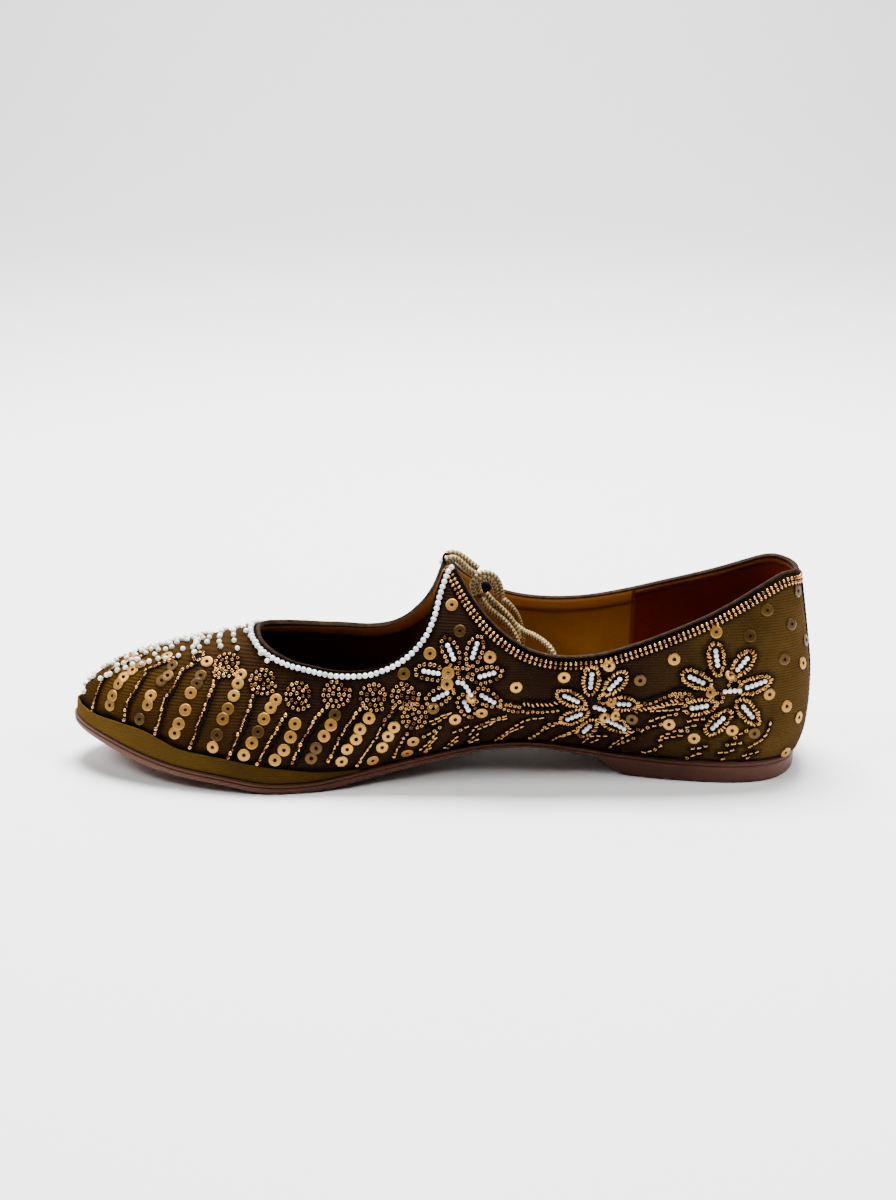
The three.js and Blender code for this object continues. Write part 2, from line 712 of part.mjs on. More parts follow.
function addPiece(name, geometry, finish) {
  const mesh = new THREE.Mesh(geometry, new THREE.MeshStandardMaterial(finish));
  mesh.name = name;
  shoe.add(mesh);
  return mesh;
}

const mainPieces = [
  addPiece("outsole", makeOutsole(), finishes.rubber),
  addPiece("upper", makeUpper(), finishes.cloth),
  addPiece("rand", makeRand(), finishes.strip),
  addPiece("insole", makeInsole(), finishes.leather),
  addPiece("tie_bars", makeTieBars(), finishes.braid),
];
addPiece("tie_knot", cordGeometry(knotPath, 12, knotWidth), finishes.braid);
addPiece("tie_loop", cordGeometry(loopPath, 24, cordWidth), finishes.braid);
addPiece("tie_end_a", cordGeometry(endPathA, 12, cordWidth), finishes.braid);
addPiece("tie_end_b", cordGeometry(endPathB, 15, cordWidth), finishes.braid);

// The shoe's own frame has its origin at the middle of the underside, below everything but the loose tie
const whole = new THREE.Box3();
for (const mesh of mainPieces) whole.expandByObject(mesh);
const centre = whole.getCenter(new THREE.Vector3());
shoe.position.set(-centre.x, -centre.y, -whole.min.z);

export default shoe;
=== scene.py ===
import math
import random

import bmesh
import bpy
from mathutils import Matrix, Vector
from mathutils.bvhtree import BVHTree
from mathutils.kdtree import KDTree


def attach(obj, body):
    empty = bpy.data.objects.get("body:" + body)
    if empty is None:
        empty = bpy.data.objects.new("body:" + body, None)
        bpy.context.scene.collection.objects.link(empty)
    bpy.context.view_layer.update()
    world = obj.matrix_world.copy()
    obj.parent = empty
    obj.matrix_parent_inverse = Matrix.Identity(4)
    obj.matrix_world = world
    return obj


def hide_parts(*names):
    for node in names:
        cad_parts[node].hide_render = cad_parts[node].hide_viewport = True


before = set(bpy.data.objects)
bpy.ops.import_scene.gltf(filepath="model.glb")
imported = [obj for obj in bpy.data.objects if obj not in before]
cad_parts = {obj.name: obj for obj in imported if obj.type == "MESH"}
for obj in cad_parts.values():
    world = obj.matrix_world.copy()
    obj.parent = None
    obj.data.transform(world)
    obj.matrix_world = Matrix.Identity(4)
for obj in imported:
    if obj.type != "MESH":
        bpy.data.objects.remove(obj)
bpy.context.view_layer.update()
mm = 0.001
innerSide = 1
outerSide = -1
sides = (innerSide, outerSide)
middleY = 1.1 * mm  # centre line of the last
toeward = Vector((1, 0, 0))
smoothLevels = 2
luck = random.Random(7)


def meshOf(bm, name):
    mesh = bpy.data.meshes.new(name)
    bm.to_mesh(mesh)
    bm.free()
    return mesh


def linkedObject(name, data):
    thing = bpy.data.objects.new(name, data)
    bpy.context.scene.collection.objects.link(thing)
    return thing


def addObject(name, bm, materials, slotName=None):
    piece = linkedObject(name, meshOf(bm, name))
    for material in materials:
        piece.data.materials.append(material)
    piece.data.polygons.foreach_set("use_smooth", [True] * len(piece.data.polygons))
    if slotName:
        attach(piece, "root")
    return piece


def mergedCopy(nodeName):
    bm = bmesh.new()
    bm.from_mesh(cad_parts[nodeName].data)
    bmesh.ops.remove_doubles(bm, verts=bm.verts[:], dist=0.001 * mm)
    return bm


def appliedSubdivision(bm):
    mesh = meshOf(bm, "working")
    carrier = linkedObject("working", mesh)
    modifier = carrier.modifiers.new("smooth", "SUBSURF")
    modifier.levels = smoothLevels
    modifier.render_levels = smoothLevels
    bpy.context.view_layer.update()
    smoothed = bpy.data.meshes.new_from_object(carrier.evaluated_get(bpy.context.evaluated_depsgraph_get()))
    bpy.data.objects.remove(carrier)
    bpy.data.meshes.remove(mesh)
    result = bmesh.new()
    result.from_mesh(smoothed)
    bpy.data.meshes.remove(smoothed)
    return result


def ringEdges(bm, ring):
    return [bm.edges.get((a, b)) for a, b in zip(ring, ring[1:] + ring[:1])]


def smoothLine(points, perSpan=8):
    line = []
    count = len(points)
    for i in range(count - 1):
        p0, p1, p2, p3 = (Vector(points[min(max(k, 0), count - 1)]) for k in (i - 1, i, i + 1, i + 2))
        bend = 2 * p0 - 5 * p1 + 4 * p2 - p3
        twist = 3 * p1 - p0 - 3 * p2 + p3
        for step in range(perSpan):
            t = step / perSpan
            line.append(0.5 * (2 * p1 + (p2 - p0) * t + bend * t * t + twist * t * t * t))
    line.append(Vector(points[-1]))
    return line


def evenLine(line, pitch, offset=0.0):
    spots = []
    wanted = offset
    travelled = 0.0
    for a, b in zip(line, line[1:]):
        run = (b - a).length
        while run > 0 and wanted <= travelled + run:
            spots.append((a.lerp(b, (wanted - travelled) / run), (b - a).normalized()))
            wanted += pitch
        travelled += run
    return spots


def withinOne(value):
    return min(1.0, max(0.0, value))


def jitter(reach):
    return luck.uniform(-reach, reach)


def turned(ahead, normal, angle):
    return Matrix.Rotation(angle, 3, normal) @ ahead


def setAt(thing, place, aim):
    thing.location = place
    thing.rotation_euler = (Vector(aim) - Vector(place)).to_track_quat("-Z", "Y").to_euler()


view = {
    "place": (-0.00041, 0.56125, 0.24502),
    "aim": (-0.00293, -0.008, 0.0554),
    "lens": 50,
    "sensor": 36,
    "photo": (896, 1200),
}


def setCamera():
    data = bpy.data.cameras.new("photo_view")
    data.lens = view["lens"]
    data.sensor_fit = "VERTICAL"
    data.sensor_height = view["sensor"]
    data.clip_start = 0.01
    data.clip_end = 30
    camera = linkedObject("photo_view", data)
    setAt(camera, view["place"], view["aim"])
    bpy.context.scene.camera = camera
    bpy.context.view_layer.update()
    return camera


camera = setCamera()


def sightLine(column, row, side):
    # Line from the eye through one spot of the photograph, mirrored for the outer side
    width, height = view["photo"]
    focal = view["lens"] / view["sensor"] * height
    look = Vector(((column - width / 2) / focal, (height / 2 - row) / focal, -1))
    start = camera.matrix_world.translation.copy()
    direction = (camera.matrix_world.to_quaternion() @ look).normalized()
    if side == outerSide:
        start.y = 2 * middleY - start.y
        direction.y = -direction.y
    return start, direction


class Nodes:
    # The nodes of one tree; a socket takes a value or another node's output
    def __init__(self, tree):
        self.tree = tree
        self.nodes = tree.nodes

    def join(self, value, socket):
        if isinstance(value, bpy.types.NodeSocket):
            self.tree.links.new(value, socket)
        else:
            socket.default_value = value

    def feed(self, node, values):
        for label, value in values.items():
            self.join(value, node.inputs[label.replace("_", " ")])
        return node

    def add(self, kind, **values):
        return self.feed(self.nodes.new(kind), values)

    def place(self):
        return self.nodes.new("ShaderNodeTexCoord").outputs["Object"]

    def total(self, first, share, second):
        # The first height, by its share, on top of the second
        node = self.nodes.new("ShaderNodeMath")
        node.operation = "MULTIPLY_ADD"
        for socket, value in zip(node.inputs, (first, share, second)):
            self.join(value, socket)
        return node.outputs["Value"]


def newGroup(name, inputs, result):
    tree = bpy.data.node_groups.new(name, "ShaderNodeTree")
    for label, value in inputs.items():
        socket = tree.interface.new_socket(name=label, in_out="INPUT", socket_type="NodeSocketFloat")
        socket.default_value = value
    tree.interface.new_socket(name=result, in_out="OUTPUT", socket_type="NodeSocketFloat")
    given = tree.nodes.new("NodeGroupInput").outputs
    return Nodes(tree), given, tree.nodes.new("NodeGroupOutput").inputs[result]


def makeMottling():
    maker, given, result = newGroup("mottling", {"Scale": 60.0, "Low": 0.35, "High": 0.65}, "Mask")
    noise = maker.add("ShaderNodeTexNoise", Vector=maker.place(), Scale=given["Scale"], Detail=5)
    limits = {"From_Min": given["Low"], "From_Max": given["High"]}
    spread = maker.add("ShaderNodeMapRange", Value=noise.outputs["Fac"], **limits)
    maker.join(spread.outputs["Result"], result)
    return maker.tree


def makeRibbedWeave():
    maker, given, result = newGroup("ribbed_weave", {"Ribs": 1100.0, "Threads": 900.0}, "Height")
    place = maker.place()
    ribs = maker.add("ShaderNodeTexWave", Vector=place, Scale=given["Ribs"])
    ribs.bands_direction = "Z"
    maker.feed(ribs, {"Distortion": 1.2, "Detail": 1, "Detail_Scale": 2})
    threads = maker.add("ShaderNodeTexWave", Vector=place, Scale=given["Threads"], Distortion=2.0)
    threads.bands_direction = "X"
    fluff = maker.add("ShaderNodeTexNoise", Vector=place, Scale=2600, Detail=2)
    height = maker.total(threads.outputs["Fac"], 0.35, ribs.outputs["Fac"])
    maker.join(maker.total(fluff.outputs["Fac"], 0.5, height), result)
    return maker.tree


def makeLeatherGrain():
    maker, given, result = newGroup("leather_grain", {"Scale": 700.0}, "Height")
    place = maker.place()
    cells = maker.add("ShaderNodeTexVoronoi", Vector=place, Scale=given["Scale"])
    cells.feature = "SMOOTH_F1"
    noise = maker.add("ShaderNodeTexNoise", Vector=place, Scale=given["Scale"], Detail=4)
    maker.join(maker.total(noise.outputs["Fac"], 1, cells.outputs["Distance"]), result)
    return maker.tree


mottling = makeMottling()
ribbedWeave = makeRibbedWeave()
leatherGrain = makeLeatherGrain()


class Finish(Nodes):
    def __init__(self, name, **sockets):
        self.material = bpy.data.materials.new(name)
        self.material.use_nodes = True
        super().__init__(self.material.node_tree)
        self.shader = self.feed(self.nodes["Principled BSDF"], sockets)

    def group(self, tree, **values):
        node = self.nodes.new("ShaderNodeGroup")
        node.node_tree = tree
        return self.feed(node, values).outputs[0]

    def bump(self, height, strength, distance):
        node = self.add("ShaderNodeBump", Height=height, Strength=strength, Distance=distance)
        self.join(node.outputs["Normal"], self.shader.inputs["Normal"])

    def fleck(self, scale, strength, distance):
        # Very fine unevenness
        noise = self.add("ShaderNodeTexNoise", Scale=scale, Detail=2)
        self.bump(noise.outputs["Fac"], strength, distance)

    def attribute(self, name):
        node = self.nodes.new("ShaderNodeAttribute")
        node.attribute_name = name
        return node.outputs["Fac"]

    def mix(self, factor, first, second, blend="MIX"):
        node = self.nodes.new("ShaderNodeMix")
        node.data_type = "RGBA"
        node.blend_type = blend
        for value, index in ((factor, 0), (first, 6), (second, 7)):
            self.join((*value, 1) if isinstance(value, tuple) else value, node.inputs[index])
        return node.outputs[2]

    def multiply(self, first, second, share=1):
        return self.mix(share, first, second, "MULTIPLY")

    def ramp(self, factor, stops):
        node = self.add("ShaderNodeValToRGB", Fac=factor)
        elements = node.color_ramp.elements
        while len(elements) < len(stops):
            elements.new(0.5)
        for element, (place, colour) in zip(elements, stops):
            element.position = place
            element.color = (*colour, 1)
        return node.outputs["Color"]

    def along(self, axis, low, high):
        split = self.add("ShaderNodeSeparateXYZ", Vector=self.place())
        spread = self.add("ShaderNodeMapRange", Value=split.outputs[axis], From_Min=low, From_Max=high)
        return spread.outputs["Result"]

    def paint(self, colour):
        self.join(colour, self.shader.inputs["Base Color"])


upperLook = {
    "sharp": math.radians(52),
    "rimBevel": 0.55 * mm,
    "ends": (-132 * mm, 132 * mm),
    "toeCloth": (0.040, 0.0192, 0.0024),
    "waistCloth": (0.0150, 0.0072, 0.0036),
    "heelCloth": (0.060, 0.0335, 0.0085),
    "binding": (0.013, 0.0062, 0.0035),
    "bindingWorn": (0.034, 0.019, 0.010),
    "shadow": (0.001, 0.0005, 0.0003),
    "liningTan": (0.30, 0.145, 0.020),
    "liningHeel": (0.14, 0.016, 0.004),
    "liningToeShade": (0.040, 0.007, 0.002),
    "liningEdge": (0.42, 0.19, 0.05),
    "liningShadow": (0.025, 0.006, 0.002),
    "liningSeam": (0.16, 0.045, 0.010),
    "seamHalf": 1.2 * mm,
    "facing": 3.4 * mm,  # width of the strip along the top of the lining
    "heelFacing": 0.25,  # share of that width behind the heel seam
    "facingThick": 0.28 * mm,
    "bindingWide": 2.4 * mm,
    "heelLiningFrom": -71.4 * mm,
    # Painted shade: the lining under the vamp is darkened towards the toe, where shade falls
    "toeShadeRun": (-14 * mm, 12 * mm),  # over this run the lining darkens towards the toe
}

# Soft creases: side, x and z, length, width and depth in millimetres, turn in degrees
creases = [
    (1, (-62, 26), 26, 5, 0.45, 24),
    (1, (-30, 30), 20, 4.5, 0.4, -18),
    (1, (12, 24), 22, 6, 0.5, 32),
    (1, (-104, 40), 24, 6, -0.4, 78),
    (1, (44, 26), 18, 5, 0.35, 48),
    (-1, (-56, 28), 26, 5, 0.45, 20),
    (-1, (-22, 32), 20, 5, 0.4, -20),
    (-1, (20, 26), 22, 6, 0.5, 36),
    (-1, (-100, 42), 24, 6, -0.4, 80),
]


def boundaryLoops(faces):
    inside = set(faces)
    following = {}
    for face in faces:
        for loop in face.loops:
            if any(other not in inside for other in loop.edge.link_faces):
                following[loop.vert] = loop.link_loop_next.vert
    loops = []
    left = set(following)
    while left:
        first = next(iter(left))
        ring = [first]
        left.discard(first)
        while following[ring[-1]] in left:
            ring.append(following[ring[-1]])
            left.discard(ring[-1])
        loops.append(ring)
    return loops


def wallRegion(bm, sharp):
    left = set(bm.faces)
    best = None
    while left:
        stack = [left.pop()]
        region = []
        while stack:
            face = stack.pop()
            region.append(face)
            for edge in face.edges:
                if edge.calc_face_angle(math.pi) < sharp:
                    for other in edge.link_faces:
                        if other in left:
                            left.discard(other)
                            stack.append(other)
        outwards = sum(f.normal.y * f.calc_center_median().y * f.calc_area() for f in region)
        if best is None or outwards > best[0]:
            best = (outwards, region)
    return best[1]


def shellRows(bm, firstRow):
    # Rows of the shell, walked from the foot up the outside, over the rim and down the lining
    count = len(firstRow)
    rows = [firstRow]
    diagonals = []
    used = set()
    while True:
        row = rows[-1]
        above = [None] * count
        for i, first in enumerate(row):
            second = row[(i + 1) % count]
            for loop in bm.edges.get((first, second)).link_loops:
                if loop.face not in used and loop.vert is first:
                    used.add(loop.face)
                    apex = loop.link_loop_prev.vert
                    diagonal = bm.edges.get((first, apex))
                    diagonals.append(diagonal)
                    used.update(diagonal.link_faces)
                    above[(i + 1) % count] = apex
        if above[0] is firstRow[0]:
            break
        rows.append(above)
    heights = [sum(v.co.z for v in row) / count for row in rows]
    lowest = min(range(len(rows)), key=lambda i: heights[i] + heights[(i + 1) % len(rows)])
    return rows[lowest + 1 :] + rows[: lowest + 1], diagonals


# Set of the throat's edge: x and how far the edge stands up on the inner and on the outer side
throatSet = [
    (10, 0, 0), (15, -0.7, 0), (21, -0.9, 0), (28, -0.5, 0.5), (38, 0.2, 2.2), (49, 1.5, 3.2),
    (55, 2.5, 3.3), (61.5, 2, 2.2), (65.5, 0, 0),
]


def edgeSet(co):
    x = co.x / mm
    column = 1 if co.y > middleY else 2
    for first, second in zip(throatSet, throatSet[1:]):
        if first[0] <= x <= second[0]:
            share = (x - first[0]) / (second[0] - first[0])
            return (first[column] + (second[column] - first[column]) * share) * mm
    return 0.0


def makeUpper():
    bm = mergedCopy("upper")
    wall = wallRegion(bm, upperLook["sharp"])
    foot = min(boundaryLoops(wall), key=lambda ring: sum(v.co.z for v in ring) / len(ring))
    rows, diagonals = shellRows(bm, foot)
    half = len(rows) // 2
    bmesh.ops.dissolve_edges(bm, edges=list(set(diagonals)), use_verts=False)
    print("upper: rows", len(rows), "columns", len(foot), "faces", len(bm.faces))
    rowOf = {}
    for index, row in enumerate(rows):
        nearEdge = 1 - abs(index - half + 0.5) / half
        for vert in row:
            rowOf[vert] = index
            vert.co.z += edgeSet(vert.co) * nearEdge**2
    for face in bm.faces:
        levels = {rowOf[v] for v in face.verts}
        face.material_index = 0 if max(levels) < half else 1 if min(levels) >= half else 2
    rim = [v.co.copy() for v in rows[half - 1]]
    rimEdges = []
    for index in (half - 1, half, 0, len(rows) - 1):
        rimEdges += ringEdges(bm, rows[index])
    bevel = {"offset": upperLook["rimBevel"], "segments": 1, "profile": 0.5, "clamp_overlap": True}
    bmesh.ops.bevel(bm, geom=rimEdges, affect="EDGES", material=2, **bevel)
    bm = appliedSubdivision(bm)
    for side, at, length, width, deep, angle in creases:
        turn = math.radians(angle)
        ahead = Vector((math.cos(turn), math.sin(turn)))
        for vert in bm.verts:
            if (vert.co.y - middleY) * side < 0:
                continue
            away = Vector((vert.co.x, vert.co.z)) / mm - Vector(at)
            u = away.dot(ahead) / length
            v = away.dot(Vector((-ahead.y, ahead.x))) / width
            depth = deep * math.exp(-(u * u) * 2 - v * v)
            if abs(depth) > 0.002:
                vert.co.y -= side * depth * mm
    bm.normal_update()
    print("upper: smooth faces", len(bm.faces))
    return bm, rim


clothFinish = Finish("upper_cloth", Roughness=0.85, Specular_IOR_Level=0.02)
bindingFinish = Finish("dark_binding", Roughness=0.8, Specular_IOR_Level=0.04)
liningFinish = Finish("lining_leather", Roughness=0.6, Specular_IOR_Level=0.08)


def finishCloth(cloth, look):
    between = tuple(0.5 * (a + b) for a, b in zip(look["waistCloth"], look["toeCloth"]))
    stops = [(0.0, look["heelCloth"]), (0.08, look["heelCloth"]), (0.24, look["waistCloth"])]
    stops += [(0.66, look["waistCloth"]), (0.80, between), (0.92, look["toeCloth"])]
    base = cloth.ramp(cloth.along("X", *look["ends"]), stops)
    patches = cloth.group(mottling, Scale=45.0, Low=0.3, High=0.72)
    base = cloth.multiply(base, cloth.mix(patches, (0.6, 0.55, 0.5), (1.2, 1.15, 1.1)))
    weave = cloth.group(ribbedWeave, Ribs=330.0, Threads=430.0)
    # Painted shade in the grooves of the rib weave and painted light on its ribs
    base = cloth.multiply(base, cloth.mix(weave, (0.55, 0.5, 0.5), (1.2, 1.2, 1.15)), 0.8)
    cloth.paint(cloth.mix(cloth.attribute("shade"), base, look["shadow"]))
    cloth.bump(weave, 0.7, 0.25 * mm)


def finishBinding(binding, look):
    worn = binding.group(mottling, Scale=400.0, Low=0.35, High=0.7)
    binding.paint(binding.mix(worn, look["binding"], look["bindingWorn"]))
    binding.bump(binding.group(ribbedWeave, Ribs=1500.0, Threads=1500.0), 0.5, 0.15 * mm)


def finishLining(lining, look):
    seam = look["heelLiningFrom"]
    front = lining.along("X", seam - 0.2 * mm, seam + 0.2 * mm)
    tone = lining.mix(front, look["liningHeel"], look["liningTan"])
    # Painted shade inside the toe: the lining darkens towards the toe
    tone = lining.mix(lining.along("X", *look["toeShadeRun"]), tone, look["liningToeShade"])
    worn = lining.group(mottling, Scale=30.0, Low=0.3, High=0.75)
    tone = lining.multiply(tone, lining.mix(worn, (0.7, 0.62, 0.55), (1.1, 1.1, 1.1)))
    tone = lining.mix(lining.attribute("edge"), tone, look["liningEdge"])
    black, white = (0, 0, 0), (1, 1, 1)
    ridge = lining.ramp(
        lining.along("X", seam - look["seamHalf"], seam + look["seamHalf"]),
        [(0.0, black), (0.3, white), (0.6, white), (0.9, black)],
    )
    tone = lining.mix(ridge, tone, look["liningSeam"])
    # Painted shade along the lower edge of the facing strip
    lining.paint(lining.mix(lining.attribute("facing_shade"), tone, look["liningShadow"]))
    lining.bump(lining.group(leatherGrain, Scale=900.0), 0.25, 0.12 * mm)


finishCloth(clothFinish, upperLook)
finishBinding(bindingFinish, upperLook)
finishLining(liningFinish, upperLook)
upperMesh, rimLine = makeUpper()


def outsideTree():
    # The cloth side alone, for sewing on
    cloth = upperMesh.copy()
    bmesh.ops.delete(cloth, geom=[f for f in cloth.faces if f.material_index != 0], context="FACES")
    tree = BVHTree.FromBMesh(cloth)
    cloth.free()
    return tree


clothTree = outsideTree()


def rimParts(rim):
    # Collar and throat runs of the top line, each from its inner to its outer peak
    count = len(rim)
    peaks = []
    for side in sides:
        onSide = [i for i in range(count) if (rim[i].y - middleY) * side > 0]
        peaks.append(max(onSide, key=lambda i: rim[i].z))
    first, second = peaks

    def run(step):
        line = [rim[first]]
        i = first
        while i != second:
            i = (i + step) % count
            line.append(rim[i])
        return line

    return sorted([run(1), run(-1)], key=lambda line: sum(p.x for p in line) / len(line))


collarLine, throatLine = rimParts(rimLine)


def seatsOf(spots, side):
    # Place and normal on the cloth of each spot of the photograph that meets it
    for column, row in spots:
        place, normal = clothTree.ray_cast(*sightLine(column, row, side))[:2]
        if place is not None:
            yield place, normal


def ontoCloth(point):
    return clothTree.find_nearest(point)[:2]


def clothLine(pixels, side):
    points = smoothLine([(*p, 0) for p in pixels])
    return [place for place, normal in seatsOf([(p.x, p.y) for p in points], side)]


def insetLine(line, inset):
    # A line that follows the top line at a distance below it
    result = []
    for point, ahead in evenLine(smoothLine(line, 6), 0.5 * mm):
        place, normal = ontoCloth(point)
        down = normal.cross(ahead)
        if down.z > 0:
            down = -down
        result.append(ontoCloth(place + down.normalized() * inset)[0])
    return result


def seatMatrix(place, normal, ahead, lift=0.0, size=1):
    # Size is one number, or length, width and height
    up = normal.normalized()
    forward = (ahead - up * ahead.dot(up)).normalized()
    across = up.cross(forward)
    turn = Matrix((forward, across, up)).transposed().to_4x4()
    scale = size if isinstance(size, tuple) else (size,) * 3
    return Matrix.Translation(place + up * lift) @ turn @ Matrix.Diagonal((*scale, 1))


def spunSeed(name, profile, steps):
    # A small turned form: the profile is a closed outline of radius and height, in shares of its width
    bm = bmesh.new()
    verts = [bm.verts.new((radius, 0, height)) for radius, height in profile]
    edges = [bm.edges.new((a, b)) for a, b in zip(verts, verts[1:] + verts[:1])]
    spin = {"cent": (0, 0, 0), "axis": (0, 0, 1), "angle": 2 * math.pi, "steps": steps}
    bmesh.ops.spin(bm, geom=verts + edges, use_merge=True, **spin)
    bmesh.ops.remove_doubles(bm, verts=bm.verts[:], dist=0.0001)
    bmesh.ops.recalc_face_normals(bm, faces=bm.faces[:])
    return meshOf(bm, name)


def roundSeed(name, across, along, height):
    bm = bmesh.new()
    bmesh.ops.create_uvsphere(bm, u_segments=across, v_segments=along, radius=0.5)
    bmesh.ops.scale(bm, verts=bm.verts[:], vec=(1, 1, height))
    return meshOf(bm, name)


def bugleSeed(name):
    bm = bmesh.new()
    bmesh.ops.create_cone(bm, cap_ends=True, segments=7, radius1=0.5, radius2=0.5, depth=1)
    rings = [e for e in bm.edges if abs(e.verts[0].co.z - e.verts[1].co.z) < 0.1]
    bmesh.ops.bevel(bm, geom=rings, affect="EDGES", offset=0.14, segments=1, profile=0.5, material=-1)
    bmesh.ops.rotate(bm, verts=bm.verts[:], matrix=Matrix.Rotation(math.pi / 2, 3, "Y"))
    return meshOf(bm, name)


ringProfile = [(0.2, 0), (0.27, 0.2), (0.42, 0.24), (0.5, 0), (0.42, -0.24), (0.27, -0.2)]
sequinProfile = [(0.15, 0), (0.16, 0.045), (0.19, 0.055), (0.25, 0.03)]
sequinProfile += [(0.33, 0.045), (0.45, 0.04), (0.5, 0.01), (0.49, -0.02)]
ringSeed = spunSeed("ring_seed", ringProfile, 8)
sequinSeed = spunSeed("sequin_seed", sequinProfile, 20)
ballSeed = roundSeed("ball_seed", 10, 7, 1)
roundGold = roundSeed("round_gold", 8, 6, 0.9)
bugle = bugleSeed("bugle_seed")
allSewing = []


class Sewing:
    def __init__(self, name, finish):
        self.name = name
        self.finish = finish
        self.bm = bmesh.new()
        self.places = []
        allSewing.append(self)

    def put(self, seed, matrix, tone=None):
        copy = seed.copy()
        layer = copy.attributes.new("tone", "FLOAT", "POINT")
        value = luck.random() if tone is None else tone
        layer.data.foreach_set("value", [value] * len(copy.vertices))
        copy.transform(matrix)
        self.bm.from_mesh(copy)
        bpy.data.meshes.remove(copy)
        self.places.append(matrix.translation.copy())

    def finished(self):
        print(self.name, len(self.places), "items,", len(self.bm.faces), "faces")
        addObject(self.name, self.bm, [self.finish.material], "upper_cloth")


def metalFinish(name, low, high, roughness, metallic, dullShare):
    finish = Finish(name, Metallic=metallic, Roughness=roughness)
    stops = [(0.0, low), (dullShare, low), (dullShare + 0.12, high), (1.0, high)]
    finish.paint(finish.ramp(finish.attribute("tone"), stops))
    finish.fleck(1800, 0.2, 0.05 * mm)
    return finish


def glossFinish(name, dull, bright, roughness, coat):
    finish = Finish(name, Roughness=roughness, Coat_Weight=coat)
    finish.paint(finish.ramp(finish.attribute("tone"), [(0.0, dull), (0.4, bright), (1.0, bright)]))
    return finish


goldFinish = metalFinish("gold_beads", (0.16, 0.065, 0.016), (0.52, 0.275, 0.075), 0.24, 0.85, 0.15)
sequinFinish = metalFinish("sequin_gold", (0.075, 0.036, 0.004), (0.42, 0.205, 0.036), 0.4, 0.65, 0.25)
whiteFinish = glossFinish("white_beads", (0.5, 0.52, 0.56), (0.9, 0.91, 0.93), 0.08, 0.6)
pearlFinish = glossFinish("pearls", (0.62, 0.56, 0.42), (0.88, 0.85, 0.76), 0.16, 0.7)
# Near-black dark thread, also used for pieces that stand as painted shade
threadAndShadeFinish = Finish("dark_thread", Roughness=0.7, Specular_IOR_Level=0.05)
threadAndShadeFinish.feed(threadAndShadeFinish.shader, {"Base_Color": (0.003, 0.002, 0.0015, 1)})
threadAndShadeFinish.fleck(3000, 0.6, 0.1 * mm)

goldBeads = Sewing("collar_beads", goldFinish)
throatBeads = Sewing("throat_beads", whiteFinish)
vampPearls = Sewing("vamp_pearls", pearlFinish)
stringBeads = Sewing("string_beads", goldFinish)
rosetteBeads = Sewing("rosette_beads", goldFinish)
petalBars = Sewing("petal_bars", whiteFinish)
petalBeads = Sewing("petal_beads", goldFinish)
vineBeads = Sewing("vine_beads", goldFinish)
sequins = Sewing("sequins", sequinFinish)
darkThreadAndShade = Sewing("dark_stitches_and_painted_shade", threadAndShadeFinish)

# Embroidery chart, in the photograph's own places
beadStrings = [
    [(142, 657), (132, 661), (122.6, 664.7), (113.4, 668.7), (107.6, 674), (102, 682), (96, 697),
     (93, 713)],
    [(175, 658.4), (169.6, 661.3), (162.7, 663), (154.7, 667), (147.8, 669.3), (144, 676), (135, 690),
     (127.5, 704), (124, 722)],
    [(193.7, 664.7), (188, 667.6), (183.4, 670), (180, 675), (171, 691), (164, 702), (160, 717),
     (155, 736)],
    [(215, 680), (211, 693), (205, 708), (196, 731), (190, 748)],
    [(253, 695), (247.5, 714), (240, 731), (228, 759)], [(286, 714), (276, 731), (257, 764)],
    [(328, 706), (316, 718), (307, 733), (290, 766)], [(364, 704), (347, 726), (337, 743), (326, 764)],
    [(395, 706), (384, 722), (376, 737), (357, 764.5)], [(407, 732), (396, 751), (388, 764.5)],
]
sequinColumns = [
    [(131.7, 655.5), (167, 656.4), (141, 664.7), (133, 670.4), (172.5, 666)],
    [(124, 677.5), (119, 684), (113, 696), (110.5, 705)],
    [(168, 676), (162, 681), (151, 696), (148, 705), (140, 719)],
    [(207, 662), (201, 676), (197, 684), (191, 693), (185.5, 710), (179, 724), (175, 733)],
    [(241, 675), (238, 684), (234, 696), (228, 709), (223, 719), (217, 735), (213, 747)],
    [(276, 700), (271, 708), (264, 719), (258, 732), (252, 743), (244, 755)],
    [(295, 724), (290.5, 737), (284, 750), (275, 760)],
    [(335, 715), (331, 725), (324, 736), (316, 748), (311, 758)],
    [(369, 718), (360, 729), (356, 739), (347, 749), (341.5, 761)],
    [(394, 727), (388, 736), (382, 747), (372.5, 760)], [(413, 741), (407, 752.5), (397, 761)],
    [(452, 605), (460, 631)],
    [(430, 653.5), (490, 657), (404, 674), (433, 708), (455, 719), (481.5, 712.5), (516, 687),
     (564, 677)],
    [(609, 665.5), (640, 680), (632, 719), (669, 724), (674, 659)],
    [(716, 632), (750, 636), (767, 610), (791, 624), (784, 659), (802, 663), (797, 591)],
    [(805, 640), (786, 706), (798, 717), (769, 694), (732, 730), (754, 733), (694, 738), (785, 752)],
]
rosettes = [
    (228, 664), (263, 681), (299, 695), (335.5, 693), (374.5, 696), (404, 695), (413, 717),
]
